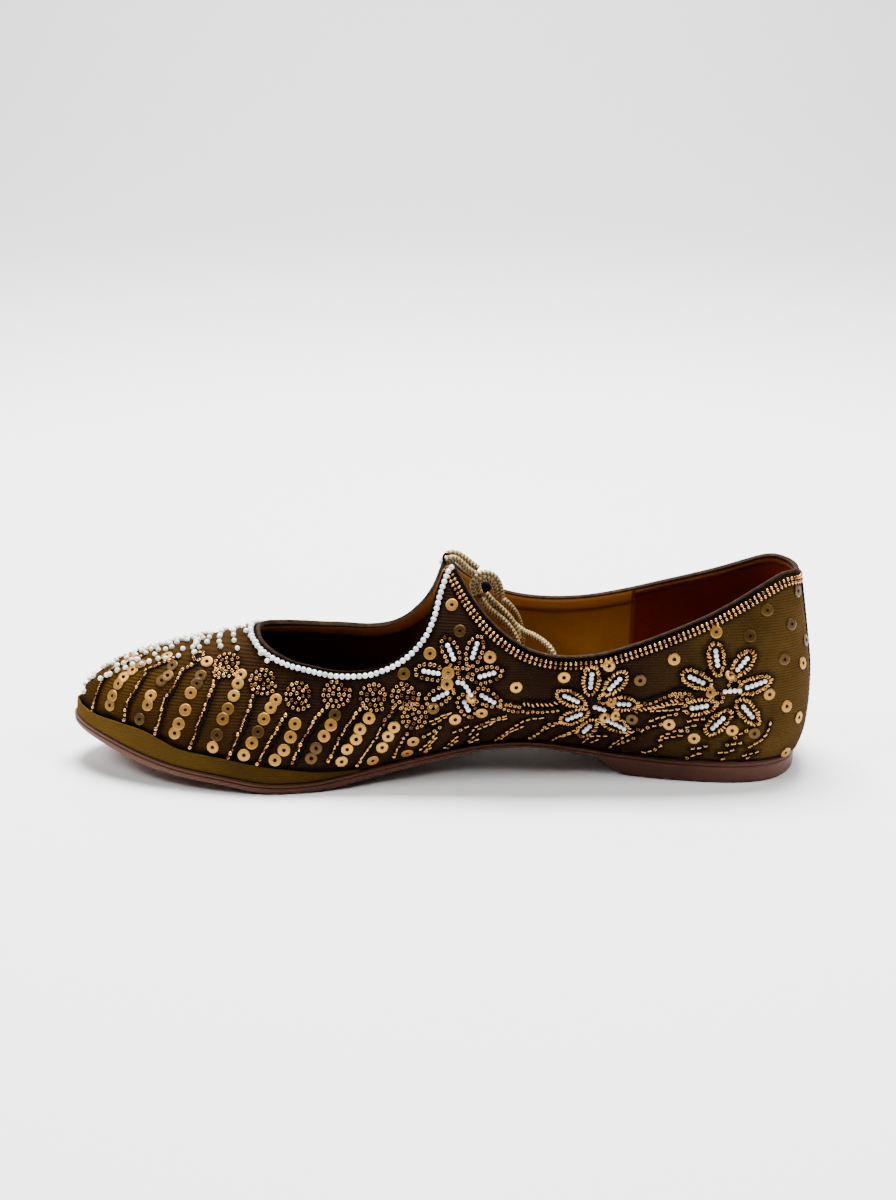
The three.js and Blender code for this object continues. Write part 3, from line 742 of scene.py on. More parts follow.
flowers = [
    {
        "bars": [
            [(447, 644), (455, 662)], [(478, 642), (471, 662)], [(422, 671), (441, 674)],
            [(478, 677), (496, 672)], [(432, 700), (448, 692)], [(480, 694), (494.5, 702)],
            [(463.5, 700), (469.5, 712)],
        ],
        "middle": [(456, 682), (464, 684), (471, 695)],
        "hearts": [(448, 673), (447, 684)],
        "rungs": False,
    },
    {
        "bars": [
            [(592, 672), (590, 689)], [(621, 677), (608, 690)], [(563, 694.5), (580, 702)],
            [(617, 703), (632, 704)], [(566, 719), (583, 712.5)], [(583, 731.5), (592, 723)],
            [(606, 719), (624, 728)],
        ],
        "middle": [(593, 706), (607, 710)],
        "hearts": [],
        "rungs": True,
    },
    {
        "bars": [
            [(715, 649), (718, 669.5)], [(748, 657), (736, 671)], [(688, 676), (706, 684)],
            [(745, 688), (765, 681)], [(690, 708), (710, 705)], [(711, 729), (726, 715)],
            [(742, 705), (754, 719)],
        ],
        "middle": [(723, 691.5), (741, 690)],
        "hearts": [],
        "rungs": True,
    },
]
vines = [
    ("dash", [(524, 703), (534, 704.5), (546, 704.5), (556, 702.5)]),
    ("ring", [(500, 706), (507, 709.5), (520, 710.5), (534, 711.5), (547, 711), (558, 710)]),
    ("ring", [(500.5, 704), (508, 704.5), (516, 706), (524, 708)]),
    ("ring", [(636, 706), (650, 702), (666, 697), (680, 692), (694, 695.5)]),
    ("dash", [(636, 711), (652, 707), (668, 702.5), (682, 699)]),
    ("ring", [(672, 694), (684, 697.5), (693, 698)]),
]
sprays = [
    [(450, 712.5), (426, 722.5)], [(446, 717), (429, 725.5)], [(440.5, 725.5), (423, 736.5)],
    [(437, 731), (429, 741), (417, 751)], [(436, 737), (427.5, 747), (418.5, 757.5)],
    [(430.5, 747), (414, 761.5)], [(457, 736), (444, 747)], [(456.5, 740), (447.5, 747), (436.5, 757)],
    [(453.5, 745.5), (441.5, 756)], [(467.5, 726), (452, 732.5)],
    [(478, 733), (467.5, 741), (456.5, 751.5)], [(477.5, 738.5), (464.5, 744)],
    [(467.5, 748), (456, 752.5)], [(505.5, 715), (492, 718.5)],
    [(505.5, 718), (479.5, 724), (469, 734.5)], [(492, 722.5), (473.5, 730)],
    [(542.5, 717), (525.5, 719.5), (507, 731), (495, 739.5), (487.5, 745.5)],
    [(522.5, 725.5), (507, 733), (499.5, 739.5)], [(562.5, 721), (547, 724), (538, 733), (522.5, 739.5)],
    [(559.5, 722.5), (541, 730), (530, 738)], [(574.5, 729.5), (561, 735), (551.5, 740)],
    [(570, 733), (559.5, 737)], [(606.5, 735), (591.5, 735.5), (580.5, 744)],
    [(597.5, 738.5), (588.5, 742.5)], [(639, 728.5), (626.5, 735), (614.5, 742.5), (608, 748.5)],
    [(634.5, 737), (620.5, 742.5), (616, 745.5)], [(682, 702.5), (665.5, 705.5), (645, 708.5)],
    [(678.5, 709), (654, 710.5), (647.5, 712)], [(677, 713.5), (668, 714.7), (650, 720)],
    [(704, 718.5), (687, 720.5)], [(695, 725.5), (687, 727), (672, 732), (657, 737)],
    [(688.5, 730), (677, 732)], [(681, 735.5), (667, 737), (656.5, 741)],
    [(662, 723.5), (646, 727.5), (641, 732)], [(661.5, 745.5), (647.5, 751.5), (641.5, 751.5)],
    [(706.5, 746), (691, 748.5)], [(700, 752.5), (687, 757)], [(747, 729.5), (729.5, 739.5)],
    [(741, 742), (725.5, 744.5)], [(733, 749.5), (718, 753)], [(724, 758), (710, 761)],
    [(770, 722), (766, 733), (758.5, 741), (748.5, 747)], [(757.5, 751), (743.5, 755)],
    [(748, 757), (734.5, 765)],
]
# Dark knots ringed with seed beads
eyes = [
    (199, 656.7), (220, 672.7), (463.6, 673.5), (604, 698), (734.4, 684.7), (717.8, 697.4),
]
# Sequins sewn on edge round the hearts of the flowers
crescents = [
    (612, 702), (604, 717), (614, 715), (729, 676), (711.4, 692.3), (470, 699),
]
pearlColumns = [
    [(246.6, 632), (250.8, 637), (256.5, 642.7), (261.5, 653.8), (267.6, 661.3)],
    [(232.5, 627.5), (234, 631.4), (234, 636.2), (234.5, 641.7), (237.7, 649.2)],
    [(221.9, 633), (220, 637.7), (219.6, 643), (221, 647.5)],
    [(211, 635), (209.8, 638.8), (207.5, 643.2)], [(199.5, 637.5), (198.9, 641.2), (195.5, 646.1)],
]


seedWide = 1.42 * mm
seedLift = 0.4 * mm
bugleLift = 0.35 * mm


def putRing(sewing, seat, wide, ahead=toeward, lean=0):
    # A ring bead that lies flat, or leans by chance
    place, normal = seat
    if lean:
        normal = normal + Vector([jitter(lean) for _ in range(3)])
    sewing.put(ringSeed, seatMatrix(place, normal, ahead, seedLift, wide))


def putBugle(sewing, seat, ahead, length, width, lift=bugleLift, tone=None):
    sewing.put(bugle, seatMatrix(*seat, ahead, lift, (length, width, width)), tone)


# Dark stitches along a line: pitch, length, width and lift
threadLook = {
    "string": (1.4 * mm, 1.9 * mm, 0.8 * mm, 0.1 * mm),
    "vine": (1.3 * mm, 2.0 * mm, 1.3 * mm, 0),
    "spray": (1.6 * mm, 1.9 * mm, 0.7 * mm, 0.05 * mm),
    "backSeam": (1.9 * mm, 2.4 * mm, 1.1 * mm, 0.35 * mm),
    # painted shade above the rand
    "randShadeLine": (1.3 * mm, 1.7 * mm, 0.5 * mm, 0),
}


def sewThreads(line, kind, angle=0):
    pitch, length, width, lift = threadLook[kind]
    for place, ahead in evenLine(line, pitch):
        ground, normal = ontoCloth(place)
        spun = turned(ahead, normal, math.radians(angle))
        darkThreadAndShade.put(bugle, seatMatrix(ground, normal, spun, lift, (length, width, width * 0.7)))


collarLook = {
    "inset": 2.65 * mm,
    "pitch": 1.75 * mm,
    "start": 0.6 * mm,
    "half": 0.78 * mm,  # from the middle of a rung to each of its beads
    "lean": 0.12,
    "lift": 0.35 * mm,
    "size": (1.12 * mm, 1.5 * mm, 1.35 * mm),
}


def trimCollar():
    # Rungs of two barrel beads each, square to the edge
    look = collarLook
    for place, ahead in evenLine(insetLine(collarLine, look["inset"]), look["pitch"], look["start"]):
        for offset in (-look["half"], look["half"]):
            ground, normal = ontoCloth(place)
            ground, normal = ontoCloth(ground + normal.cross(ahead).normalized() * offset)
            lean = turned(ahead, normal, jitter(look["lean"]))
            goldBeads.put(roundGold, seatMatrix(ground, normal, lean, look["lift"], look["size"]))


throatLook = {"inset": 1.9 * mm, "start": 0.8 * mm, "wide": 2.05 * mm, "lift": 0.5 * mm}


def trimThroat():
    look = throatLook
    for place, ahead in evenLine(insetLine(throatLine, look["inset"]), look["wide"] * 0.98, look["start"]):
        throatBeads.put(ballSeed, seatMatrix(*ontoCloth(place), ahead, look["lift"], look["wide"]))


stringLook = {
    "pitch": 1.75 * mm,
    "start": 0.6 * mm,
    "stray": 0.3,
    "lean": 0.35,
    "roundEnds": (4, 2),  # round beads at the top and at the foot
    "roundShare": 0.16,  # of the places between
    "roundWide": (1.15, 1.6),
    "bugleWide": (0.6, 0.85),
    "bugleLong": (1.2, 1.75),
    "behind": Vector((-0.9 * mm, 0, -0.3 * mm)),  # to the dark stitches
}


def sewStrings(side):
    look = stringLook
    top, foot = look["roundEnds"]
    for pixels in beadStrings:
        line = clothLine(pixels, side)
        spots = evenLine(line, look["pitch"], look["start"])
        for k, (place, ahead) in enumerate(spots):
            seat = ontoCloth(place + Vector((jitter(look["stray"]), 0, 0)) * mm)
            lean = turned(ahead, seat[1], jitter(look["lean"]))
            if k < top or k >= len(spots) - foot or luck.random() < look["roundShare"]:
                wide = luck.uniform(*look["roundWide"]) * mm
                stringBeads.put(roundGold, seatMatrix(*seat, lean, seedLift, (wide * 1.15, wide, wide)))
            else:
                wide = luck.uniform(*look["bugleWide"]) * mm
                length = luck.uniform(*look["bugleLong"]) * mm
                putBugle(stringBeads, seat, lean, length, wide, tone=luck.random() * 0.8)
        # Dark stitches beside the string: dark thread, and painted shade beside the beads
        sewThreads([ontoCloth(p + look["behind"])[0] for p in line], "string")


sequinLook = {"wide": 4.4 * mm, "lift": 0.35 * mm, "tilt": 0.12, "heartLift": 0.6 * mm, "edgeLift": 0.9 * mm}


def putSequin(place, normal, lift, share=1, tone=None):
    sequins.put(sequinSeed, seatMatrix(place, normal, toeward, lift, sequinLook["wide"] * share), tone)


def sewSequins(side):
    tilt = sequinLook["tilt"]
    for column in sequinColumns:
        for place, normal in seatsOf(column, side):
            putSequin(place, normal + Vector((jitter(tilt), 0, jitter(tilt))), sequinLook["lift"])


rosetteLook = {"from": 0.8 * mm, "to": 5.2 * mm, "pitch": 1.85 * mm, "gap": 1.75 * mm, "wide": (0.85, 1.05)}


def sewRosettes(side):
    # Seed beads laid in a spiral
    look = rosetteLook
    for seat in seatsOf(rosettes, side):
        base = seatMatrix(*seat, toeward)
        angle = luck.uniform(0, 6)
        reach = look["from"]
        while reach < look["to"]:
            spot = base @ Vector((reach * math.cos(angle), reach * math.sin(angle), 0))
            putRing(rosetteBeads, ontoCloth(spot), seedWide * luck.uniform(*look["wide"]), lean=0.4)
            angle += look["pitch"] / reach
            reach += look["gap"] * (look["pitch"] / reach) / (2 * math.pi)


petalLook = {
    "barWide": 1.75 * mm,
    "barLift": 0.42 * mm,
    "ringPitch": 1.85 * mm,  # beads round the petals of the first flower
    "rungPitch": 1.15 * mm,  # bars round the petals of the other two
    "margin": 2.2 * mm,
    "half": 2.6 * mm,
    "steps": 48,
    "stray": 0.2,
    "rungShare": 0.8,
    "rungLong": (1.25, 1.7),
    "rungThick": 0.85 * mm,
    "ringWide": (0.85, 1.08),
}


def sewBar(line):
    width = petalLook["barWide"]
    for place, ahead in evenLine(line, width * 0.94, width * 0.4):
        petalBars.put(ballSeed, seatMatrix(*ontoCloth(place), ahead, petalLook["barLift"], width))


def sewPetal(ends, side, rungs):
    # A white bar with an egg-shaped row of beads or rungs round it
    look = petalLook
    seats = list(seatsOf(ends, side))
    if len(seats) < 2:
        return
    (a, firstNormal), (b, secondNormal) = seats
    along = (b - a).normalized()
    middle = (a + b) / 2
    across = (firstNormal + secondNormal).normalized().cross(along)
    sewBar([a, b])
    halfLong = (b - a).length / 2 + look["margin"]
    outline = []
    for i in range(look["steps"] + 1):
        turn = 2 * math.pi * i / look["steps"]
        sideways = across * look["half"] * math.sin(turn) * (1 - 0.16 * math.cos(turn))
        outline.append(middle + along * halfLong * math.cos(turn) + sideways)
    for place, ahead in evenLine(outline, look["rungPitch"] if rungs else look["ringPitch"]):
        seat = ontoCloth(place + Vector((jitter(look["stray"]), 0, jitter(look["stray"]))) * mm)
        if rungs and luck.random() < look["rungShare"]:
            outwards = (seat[0] - middle).normalized() + along * jitter(0.25)
            putBugle(petalBeads, seat, outwards, luck.uniform(*look["rungLong"]) * mm, look["rungThick"])
        else:
            putRing(petalBeads, seat, seedWide * luck.uniform(*look["ringWide"]), ahead, 0.35)


def sewFlowers(side):
    for flower in flowers:
        for bar in flower["bars"]:
            sewPetal(bar, side, flower["rungs"])
        sewBar(clothLine(flower["middle"], side))
        for seat in seatsOf(flower["hearts"], side):
            putSequin(*seat, sequinLook["heartLift"], tone=0.7)


eyeLook = {"size": (2.4 * mm, 1.7 * mm, 0.8 * mm, 1), "beads": 8, "reach": (1.7, 2.1), "wide": (1.15, 1.4)}


def sewEyes(side):
    look = eyeLook
    for seat in seatsOf(eyes, side):
        base = seatMatrix(*seat, toeward)
        darkThreadAndShade.put(roundGold, base @ Matrix.Diagonal(look["size"]))
        for i in range(look["beads"]):
            turn = 2 * math.pi * i / look["beads"] + jitter(0.15)
            reach = luck.uniform(*look["reach"]) * mm
            spot = base @ Vector((reach * math.cos(turn), reach * math.sin(turn), 0))
            putRing(rosetteBeads, ontoCloth(spot), luck.uniform(*look["wide"]) * mm)
    for place, normal in seatsOf(crescents, side):
        lean = Vector((luck.uniform(-1, 1), 0, luck.uniform(0.2, 1)))
        putSequin(place, normal + lean, sequinLook["edgeLift"], 0.9, 0.6)


vineLook = {
    "pitch": {"ring": 1.75 * mm, "dash": 1.6 * mm},
    "ringWide": (1.2, 1.55),
    "slant": math.radians(-55),
    "dashSize": (1.7 * mm, 0.7 * mm),
    "above": Vector((0, 0, 1.1 * mm)),  # to the dark stitches
}


def sewVines(side):
    look = vineLook
    for kind, pixels in vines:
        line = clothLine(pixels, side)
        for place, ahead in evenLine(line, look["pitch"][kind]):
            seat = ontoCloth(place + Vector((0, 0, jitter(0.3))) * mm)
            if kind == "ring":
                putRing(vineBeads, seat, luck.uniform(*look["ringWide"]) * mm, ahead, 0.4)
            else:
                putBugle(vineBeads, seat, turned(ahead, seat[1], look["slant"]), *look["dashSize"])
        # Dark stitches above the vine: dark thread, and painted shade beside the beads
        sewThreads([p + look["above"] for p in line], "vine")
    sewSprays(side)


sprayLook = {
    "pitch": (2.0, 2.4),
    "start": 0.4 * mm,
    "lift": 0.3 * mm,
    "wide": (0.7, 0.95),
    "long": (1.4, 1.95),
    "ringShare": 0.14,
    "ringWide": 1.4 * mm,
    "below": Vector((0.3, 0, -0.8)) * mm,  # to the dark stitches
}


def sewSprays(side):
    look = sprayLook
    for pixels in sprays:
        line = clothLine(pixels, side)
        if len(line) < 2:
            continue
        for place, ahead in evenLine(line, luck.uniform(*look["pitch"]) * mm, look["start"]):
            seat = ontoCloth(place + Vector((0, 0, jitter(0.25))) * mm)
            wide = luck.uniform(*look["wide"]) * mm
            if luck.random() < look["ringShare"]:
                putRing(vineBeads, seat, look["ringWide"], ahead)
            else:
                lean = turned(ahead, seat[1], jitter(0.2))
                length = luck.uniform(*look["long"]) * mm
                putBugle(vineBeads, seat, lean, length, wide, look["lift"], luck.uniform(0.3, 1))
        # Dark stitches under the spray: dark thread, and painted shade between the rows
        sewThreads([p + look["below"] for p in line], "spray")


# Scattered pearls over the toe; half widths of the band at x, in millimetres
pearlLook = {
    "wide": 1.932 * mm,
    "lift": 0.6 * mm,
    "from": 84 * mm,
    "to": 127 * mm,
    "above": 90 * mm,
    "pitch": 2.9 * mm,
    "stagger": 1.3 * mm,
    "filled": 0.74,
    "halfWide": ((84, 9.5), (95, 9), (110, 7.5), (122, 6), (128, 3)),
}


def putPearl(place, normal):
    width = pearlLook["wide"] * luck.uniform(0.92, 1.05)
    vampPearls.put(ballSeed, seatMatrix(place, normal, toeward, pearlLook["lift"], width))


def bandHalf(x):
    for (x0, w0), (x1, w1) in zip(pearlLook["halfWide"], pearlLook["halfWide"][1:]):
        if x / mm <= x1:
            return (w0 + (w1 - w0) * withinOne((x / mm - x0) / (x1 - x0))) * mm


def sewPearls(side):
    for column in pearlColumns:
        for seat in seatsOf(column, side):
            putPearl(*seat)


def sewPearlBand():
    look = pearlLook
    x = look["from"]
    while x < look["to"]:
        half = bandHalf(x)
        count = max(1, round(2 * half / look["pitch"]))
        for i in range(count + 1):
            y = middleY - half + 2 * half * i / count
            stray = Vector((jitter(0.8), jitter(0.6), 0)) * mm
            start = Vector((x + (look["stagger"] if i % 2 else 0), y, look["above"])) + stray
            place, normal = clothTree.ray_cast(start, Vector((0, 0, -1)))[:2]
            if place is not None and luck.random() < look["filled"]:
                putPearl(place, normal)
        x += look["pitch"] * 0.9


backSeam = {"points": 40, "from": 9 * mm, "step": 1.55 * mm, "shift": 3.2 * mm, "angles": (60, -60)}


def sewBackSeam():
    # Crossed stitches up the heel
    look = backSeam
    line = []
    for i in range(look["points"]):
        start = Vector((-0.3, middleY + look["shift"], look["from"] + i * look["step"]))
        hit = clothTree.ray_cast(start, toeward)[0]
        if hit is not None:
            line.append(hit)
    for angle in look["angles"]:
        sewThreads(line, "backSeam", angle)


def sewRandShadeLine():
    # Painted shade: a line of dark stitches where the cloth goes down behind the rand
    bm = mergedCopy("rand")
    highest = {}
    for vert in bm.verts:
        key = (round(vert.co.x / (3 * mm)), vert.co.y > middleY)
        if key not in highest or vert.co.z > highest[key].z:
            highest[key] = vert.co + Vector((0, 0, 0.35 * mm))
    bm.free()
    for isInner in (True, False):
        line = sorted((p for (_, side), p in highest.items() if side == isInner), key=lambda p: p.x)
        sewThreads(smoothLine(line, 3), "randShadeLine")


# Ring of dark thread at the instep peak, and a dark pad in the knot's turn that stands as painted shade for
# its inside
tieThreadsAndShade = {
    "ring": Vector((-2.1, 1.6, 74.0)) * mm,
    "ringHalf": (1.5, 0.8),
    "stitches": 9,
    "stitchSize": (1.6 * mm, 0.9 * mm, 0.9 * mm),
    "inside": Vector((-16, -1.9, 62.4)) * mm,
    "knotShadePadSize": (5.0 * mm, 4.4 * mm, 1.5 * mm),
}


def sewTieThreadsAndShade():
    look = tieThreadsAndShade
    eye = Vector(view["place"])
    wide, high = look["ringHalf"]
    outwards = eye - look["ring"]
    base = seatMatrix(look["ring"], outwards, Vector((0, 0, 1)))
    for i in range(look["stitches"]):
        turn = 2 * math.pi * i / look["stitches"]
        spot = base @ (Vector((wide * math.cos(turn), high * math.sin(turn), 0)) * mm)
        ahead = base.to_3x3() @ Vector((-math.sin(turn), 0.6 * math.cos(turn), 0))
        darkThreadAndShade.put(bugle, seatMatrix(spot, outwards, ahead, 0, look["stitchSize"]))
    # A dark pad put in the knot's turn: painted shade
    inside = look["inside"]
    darkThreadAndShade.put(roundGold, seatMatrix(inside, eye - inside, toeward, 0, look["knotShadePadSize"]))


trimCollar()
trimThroat()
for sew in (sewStrings, sewRosettes, sewFlowers, sewEyes, sewVines, sewPearls):
    for side in sides:
        sew(side)
sewPearlBand()
for side in sides:
    sewSequins(side)
sewBackSeam()
sewRandShadeLine()
sewTieThreadsAndShade()


def searchTree(points):
    tree = KDTree(len(points))
    for i, point in enumerate(points):
        tree.insert(point, i)
    tree.balance()
    return tree


# How far the shadow round each kind of item reaches, in millimetres
shadowReach = [(petalBeads, 2.6), (rosetteBeads, 2.0), (vineBeads, 2.2), (stringBeads, 1.5)]
shadowReach += [(darkThreadAndShade, 1.9), (goldBeads, 2.0), (throatBeads, 2.0)]


def shadeUpper(bm):
    look = upperLook
    shade = bm.verts.layers.float.new("shade")
    edge = bm.verts.layers.float.new("edge")
    facing_shade = bm.verts.layers.float.new("facing_shade")
    spots = [(place, reach * mm) for sewing, reach in shadowReach for place in sewing.places]
    near = searchTree([place for place, reach in spots])
    rim = searchTree(smoothLine(rimLine + rimLine[:1], 6))
    for vert in bm.verts:
        place, i, distance = near.find(vert.co)
        fromRim = rim.find(vert.co)[2]
        shadow = max(1.5 * (1 - distance / spots[i][1]), 1.35 - fromRim / (3.4 * mm))
        vert[shade] = min(0.93, max(0.0, shadow))
        if all(face.material_index == 1 for face in vert.link_faces):
            isHeel = vert.co.x < look["heelLiningFrom"]
            facing = look["facing"] * (look["heelFacing"] if isHeel else 1) + look["bindingWide"]
            onFacing = withinOne((facing - fromRim) / (0.9 * mm))
            vert[edge] = onFacing * withinOne(1.5 - fromRim / (4.2 * mm))
            # Painted shade along the lower edge of the facing strip
            vert[facing_shade] = max(0.0, 1 - abs(fromRim - facing) / mm) * 0.75
            vert.co += vert.normal * (look["facingThick"] * onFacing)


shadeUpper(upperMesh)
upperFinishes = [clothFinish.material, liningFinish.material, bindingFinish.material]
upper = addObject("upper_cloth_and_lining", upperMesh, upperFinishes, "upper_cloth")
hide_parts("upper")
print("upper done")
for sewing in allSewing:
    sewing.finished()

soleLook = {
    "colour": (0.066, 0.0235, 0.0135),
    "edgeColour": (0.042, 0.0145, 0.0085),
    "endLitColour": (0.115, 0.052, 0.036),
    # Painted light: the sole grows lighter towards its toe and heel ends
    "toeEnd": (60 * mm, 128 * mm),  # over these runs the sole grows lighter
    "heelLitRun": (-85 * mm, -132 * mm),
    "roughness": 0.42,
}
randLook = {
    "colour": (0.022, 0.011, 0.0022),
    "worn": (0.042, 0.022, 0.0034),
    # Painted light: the rand is lighter towards the toe
    "toeLitColour": (0.080, 0.043, 0.0075),
    "toeEnd": (55 * mm, 118 * mm),
}
insoleLook = {"colour": (0.04, 0.016, 0.004), "worn": (0.07, 0.03, 0.006)}
soleFinish = Finish("moulded_sole", Roughness=soleLook["roughness"], Specular_IOR_Level=0.1)
randFinish = Finish("rand_cloth", Roughness=0.85, Specular_IOR_Level=0.02)
insoleFinish = Finish("insole_leather", Roughness=0.6, Specular_IOR_Level=0.08)


def finishSole(sole, look):
    worn = sole.group(mottling, Scale=35.0, Low=0.3, High=0.75)
    brown = sole.mix(worn, look["edgeColour"], look["colour"])
    # Painted light on the ends of the sole
    for run in (look["toeEnd"], look["heelLitRun"]):
        brown = sole.mix(sole.along("X", *run), brown, look["endLitColour"])
    sole.paint(brown)
    sole.bump(sole.group(leatherGrain, Scale=500.0), 0.12, 0.1 * mm)


def finishRand(rand, look):
    patches = rand.group(mottling, Scale=40.0, Low=0.3, High=0.7)
    olive = rand.mix(patches, look["colour"], look["worn"])
    # Painted light on the toe end of the rand
    rand.paint(rand.mix(rand.along("X", *look["toeEnd"]), olive, look["toeLitColour"]))
    rand.bump(rand.group(ribbedWeave, Ribs=360.0, Threads=470.0), 0.45, 0.2 * mm)


def finishInsole(insole, look):
    patches = insole.group(mottling, Scale=25.0, Low=0.3, High=0.75)
    insole.paint(insole.mix(patches, look["colour"], look["worn"]))
    insole.bump(insole.group(leatherGrain, Scale=800.0), 0.2, 0.1 * mm)


finishSole(soleFinish, soleLook)
finishRand(randFinish, randLook)
finishInsole(insoleFinish, insoleLook)


def makeSmoothPiece(nodeName, name, finish, slotName, sharp, crease):
    # Edges sharper than an angle stay crisp, the others are rounded
    bm = mergedCopy(nodeName)
    widest = {"angle_face_threshold": math.pi, "angle_shape_threshold": math.pi}
    bmesh.ops.join_triangles(bm, faces=bm.faces[:], **widest)
    layer = bm.edges.layers.float.new("crease_edge")
    for edge in bm.edges:
        if len(edge.link_faces) == 2 and edge.calc_face_angle(0) > math.radians(sharp):
            edge[layer] = crease
    piece = addObject(name, appliedSubdivision(bm), [finish.material], slotName)
    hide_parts(nodeName)


makeSmoothPiece("outsole", "moulded_outsole", soleFinish, "sole_unit", 30, 0.75)
makeSmoothPiece("rand", "rand_strip", randFinish, "rand_cloth", 45, 0.7)
makeSmoothPiece("insole", "insole_bed", insoleFinish, "lining_leather", 45, 0.8)
print("sole, rand and insole done")

tieLook = {
    "wide": 2.7 * mm,  # over the tops of the stitches
    "cordWide": 2.3 * mm,
    "knotWide": 4.2 * mm,
    "sides": 18,
    "ringPitch": 0.16 * mm,
    "stitch": 1.35 * mm,  # length of one stitch of the chain braid
    "wales": 4,  # columns of stitches round the cord
    "relief": 0.3,  # depth between the stitches as a share of the cord's half width
}
tieShift = Vector((-127.81, 1.1, 0))
tiePaths = {
    "strandFromInner": [
        (125.7, 2.7, 74), (124, 2.4, 74.6), (122.1, 1.9, 74.2), (120, 1.2, 72.2), (118, 0.6, 70),
        (115.6, 0.2, 68.4), (113.4, 0.2, 67),
    ],
    "strandFromOuter": [
        (125.4, -1.9, 74.6), (123.4, -1.6, 75.3), (121.2, -1.6, 74.8), (118.8, -1.5, 73.2),
        (116.3, -1.3, 71.2), (114.1, -1, 69.7),
    ],
    "knot": [
        (114.4, 1.2, 61.2), (115.3, 1.4, 64.5), (114.1, 1.4, 67.2), (111.4, 1, 67.9), (108.7, 0.6, 66.2),
        (107.2, 0, 62.7), (106.9, -0.4, 59.5),
    ],
    "loop": [
        (111.6, -1.6, 60.3), (109.3, -1.2, 57.6), (106.2, -0.8, 54.9), (103.3, -0.6, 51.7),
        (101, -0.6, 48), (99.7, -0.8, 43.8), (98.9, -1.2, 38.7), (98.6, -3, 33.8), (98.6, -7, 29.8),
        (98.5, -11.2, 30.9), (98.1, -12.8, 35.2), (98.1, -12, 40.2), (98.8, -10.4, 45), (100, -8.6, 49.1),
        (101.7, -6.6, 52.6), (103.8, -5.4, 55.4), (105.2, -5, 56.7),
    ],
    "endA": [
        (113.2, 2.9, 59.7), (110.7, 2.4, 56), (107.4, 1.9, 53.1), (104.4, 1.8, 50.2), (102, 2, 47),
        (100.4, 2.4, 43.3), (99.4, 2.9, 38.4), (98.7, 3.3, 33.2), (98.3, 3.5, 29.4),
    ],
    "endB": [
        (108.6, -4.2, 55.3), (106.1, -4.4, 53), (103.6, -4.2, 50.6), (101.1, -4, 47.8),
        (97.9, -2.4, 45.7), (94.5, 1.4, 45.4), (91.1, 5, 44.2), (88.7, 7.8, 42.4), (87.3, 9.7, 39.5),
        (86.6, 11.2, 35.7), (86.2, 12, 31.1),
    ],
}
braidFinish = Finish("braided_cord", Roughness=0.4, Metallic=0.25)
# The braid's colour follows the height of its stitches: painted shade in the gaps between them
braidShadeStops = [(0.0, (0.026, 0.014, 0.004)), (0.4, (0.17, 0.105, 0.033)), (0.85, (0.46, 0.32, 0.125))]
braidFinish.paint(braidFinish.ramp(braidFinish.attribute("plait"), braidShadeStops))
braidFinish.fleck(2600, 0.5, 0.12 * mm)


def tieLine(name):
    return smoothLine([(Vector(p) + tieShift) * mm for p in tiePaths[name]])


def braidTube(bm, line, width):
    # Chain braid: every wale is a row of slanting V stitches, half a stitch out of step with the next one
    layer = bm.verts.layers.float.get("plait") or bm.verts.layers.float.new("plait")
    look = tieLook
    count = look["sides"]
    up = Vector((0, 0, 1))
    ring = None
    for k, (place, ahead) in enumerate(evenLine(line, look["ringPitch"])):
        across = up.cross(ahead)
        if across.length < 0.1:
            across = Vector((0, 1, 0)).cross(ahead)
        across.normalize()
        up = ahead.cross(across).normalized()
        if ring is None:
            ring = bmesh.ops.create_circle(bm, cap_ends=True, segments=count, radius=width / 2)["verts"]
        else:
            grown = bmesh.ops.extrude_edge_only(bm, edges=ringEdges(bm, ring))
            new = {g for g in grown["geom"] if isinstance(g, bmesh.types.BMVert)}
            ring = [next(e.other_vert(v) for e in v.link_edges if e.other_vert(v) in new) for v in ring]
        for i, vert in enumerate(ring):
            turn = 2 * math.pi * i / count
            wale, inWale = divmod(turn * look["wales"] / (2 * math.pi), 1)
            leg = abs(inWale - 0.5) * 2
            phase = k * look["ringPitch"] / look["stitch"] + 0.6 * leg + 0.5 * (int(wale) % 2)
            wave = 0.5 + 0.5 * math.cos(2 * math.pi * phase)
            high = wave * math.sin(math.pi * (0.12 + 0.76 * leg)) ** 0.5
            reach = width / 2 * (1 - look["relief"] * (1 - high))
            vert.co = place + (across * math.cos(turn) + up * math.sin(turn)) * reach
            vert[layer] = high
    bmesh.ops.contextual_create(bm, geom=ringEdges(bm, ring))


def twinLines(line, apart):
    # Two lines side by side along one, square to the line of sight
    towards = Vector(view["place"]) - line[0]
    pair = []
    for side in (-0.5, 0.5):
        moved = []
        for i, point in enumerate(line):
            ahead = (line[min(i + 1, len(line) - 1)] - line[max(i - 1, 0)]).normalized()
            moved.append(point + ahead.cross(towards).normalized() * apart * side)
        pair.append(moved)
    return pair


def makeTie(name, nodeName, lines):
    bm = bmesh.new()
    for line in lines:
        braidTube(bm, line, tieLook["wide"])
    bmesh.ops.recalc_face_normals(bm, faces=bm.faces[:])
    piece = addObject(name, bm, [braidFinish.material], "braid")
    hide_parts(nodeName)
    return piece


def makeCord(name, nodeName, routeName, width):
    # A cord wider than one braid is two braids side by side
    line = tieLine(routeName)
    isDouble = width > tieLook["wide"]
    piece = makeTie(name, nodeName, twinLines(line, width - tieLook["wide"]) if isDouble else [line])
    length = sum((b - a).length for a, b in zip(line, line[1:]))
    print(name, "length", round(length / mm, 1))
    if length >= 0.03:
        tuple(line[0])
        [tuple(p) for p in line]


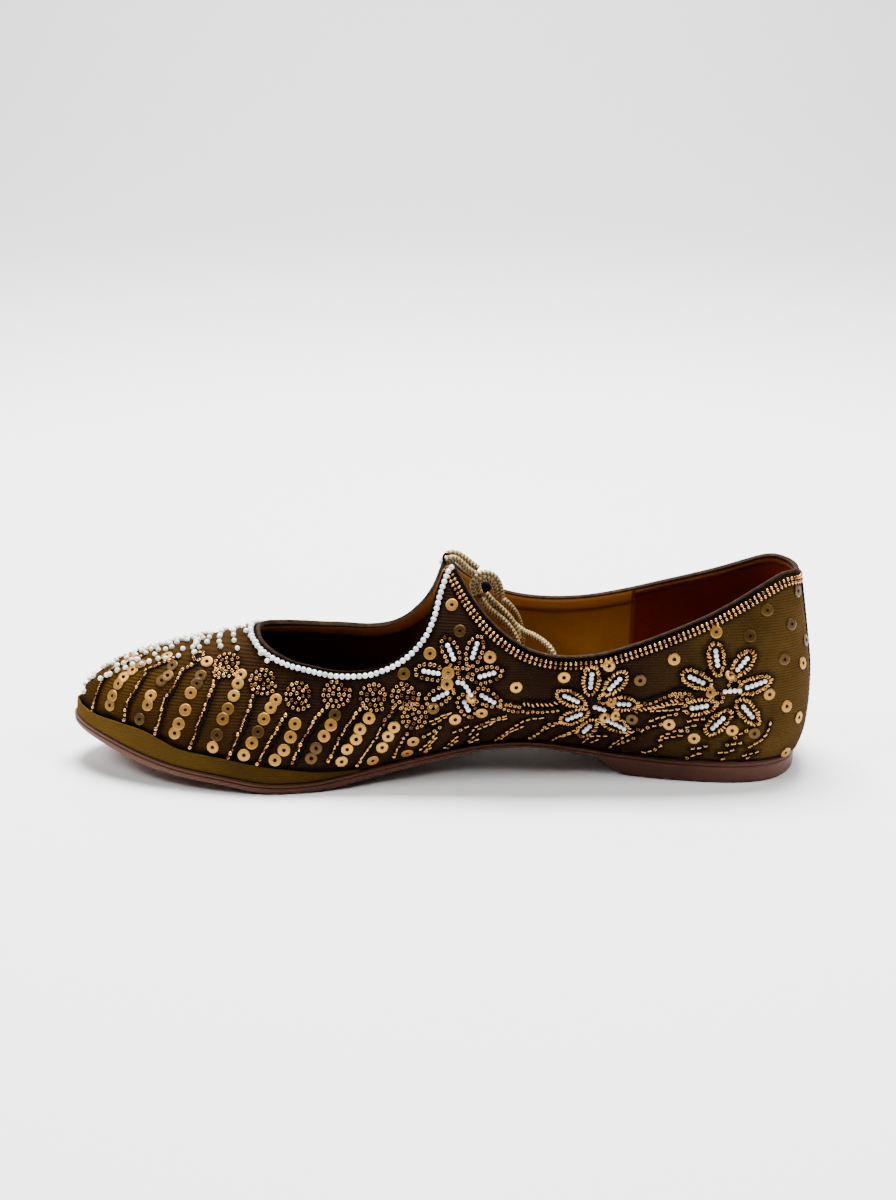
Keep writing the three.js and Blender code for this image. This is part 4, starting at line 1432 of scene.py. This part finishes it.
makeTie("tie_strands", "tie_bars", [tieLine("strandFromInner"), tieLine("strandFromOuter")])
makeCord("tie_knot_turn", "tie_knot", "knot", tieLook["knotWide"])
makeCord("tie_hanging_loop", "tie_loop", "loop", tieLook["wide"])
makeCord("tie_end_inner", "tie_end_a", "endA", tieLook["wide"])
makeCord("tie_end_forward", "tie_end_b", "endB", tieLook["wide"])
print("tie done")

stageLook = {
    "tone": (0.9, 0.9, 0.895, 1),
    "wide": 6,
    "front": 1.6,
    "back": -1.8,
    "cove": 0.6,
    "coveSteps": 10,
    "high": 2.6,
    "air": 0.04,
}


def makeStage():
    # A floor that curves up into a wall
    look = stageLook
    finish = Finish("pale_floor", Base_Color=look["tone"], Roughness=0.6)
    bm = bmesh.new()
    half = look["wide"] / 2
    edge = bm.edges.new([bm.verts.new((x, look["front"], 0)) for x in (-half, half)])
    path = [(look["back"], 0)]
    for i in range(1, look["coveSteps"] + 1):
        turn = math.pi / 2 * i / look["coveSteps"]
        path.append((look["back"] - look["cove"] * math.sin(turn), look["cove"] * (1 - math.cos(turn))))
    path.append((look["back"] - look["cove"], look["high"]))
    for y, z in path:
        grown = bmesh.ops.extrude_edge_only(bm, edges=[edge])
        edge = next(g for g in grown["geom"] if isinstance(g, bmesh.types.BMEdge))
        for vert in edge.verts:
            vert.co.y = y
            vert.co.z = z
    bmesh.ops.recalc_face_normals(bm, faces=bm.faces[:])
    floor = addObject("pale_backdrop", bm, [finish.material])


# Soft lights: name, place, aim, size in metres, power in watts
lights = [
    ("overhead", (0.0, -0.42, 1.18), (0, 0, 0), (0.75, 0.42), 72),
    ("from_toe", (0.85, 0.2, 0.95), (0.1, 0, 0.02), (0.45, 0.4), 9),
    ("from_heel", (-0.85, 0.24, 0.95), (-0.1, 0, 0.03), (0.45, 0.4), 12),
    ("backdrop", (0, -1.5, 1.5), (0, -2.4, 0), (2.6, 0.8), 60),
]


def setLight():
    world = bpy.data.worlds.new("soft_room")
    bpy.context.scene.world = world
    world.use_nodes = True
    Nodes(world.node_tree).feed(
        world.node_tree.nodes["Background"], {"Color": (1, 1, 1, 1), "Strength": stageLook["air"]}
    )
    for name, place, aim, size, power in lights:
        data = bpy.data.lights.new(name, "AREA")
        data.shape = "RECTANGLE"
        data.size, data.size_y = size
        data.energy = power
        setAt(linkedObject(name, data), place, aim)


makeStage()
setLight()
print("floor and light done")
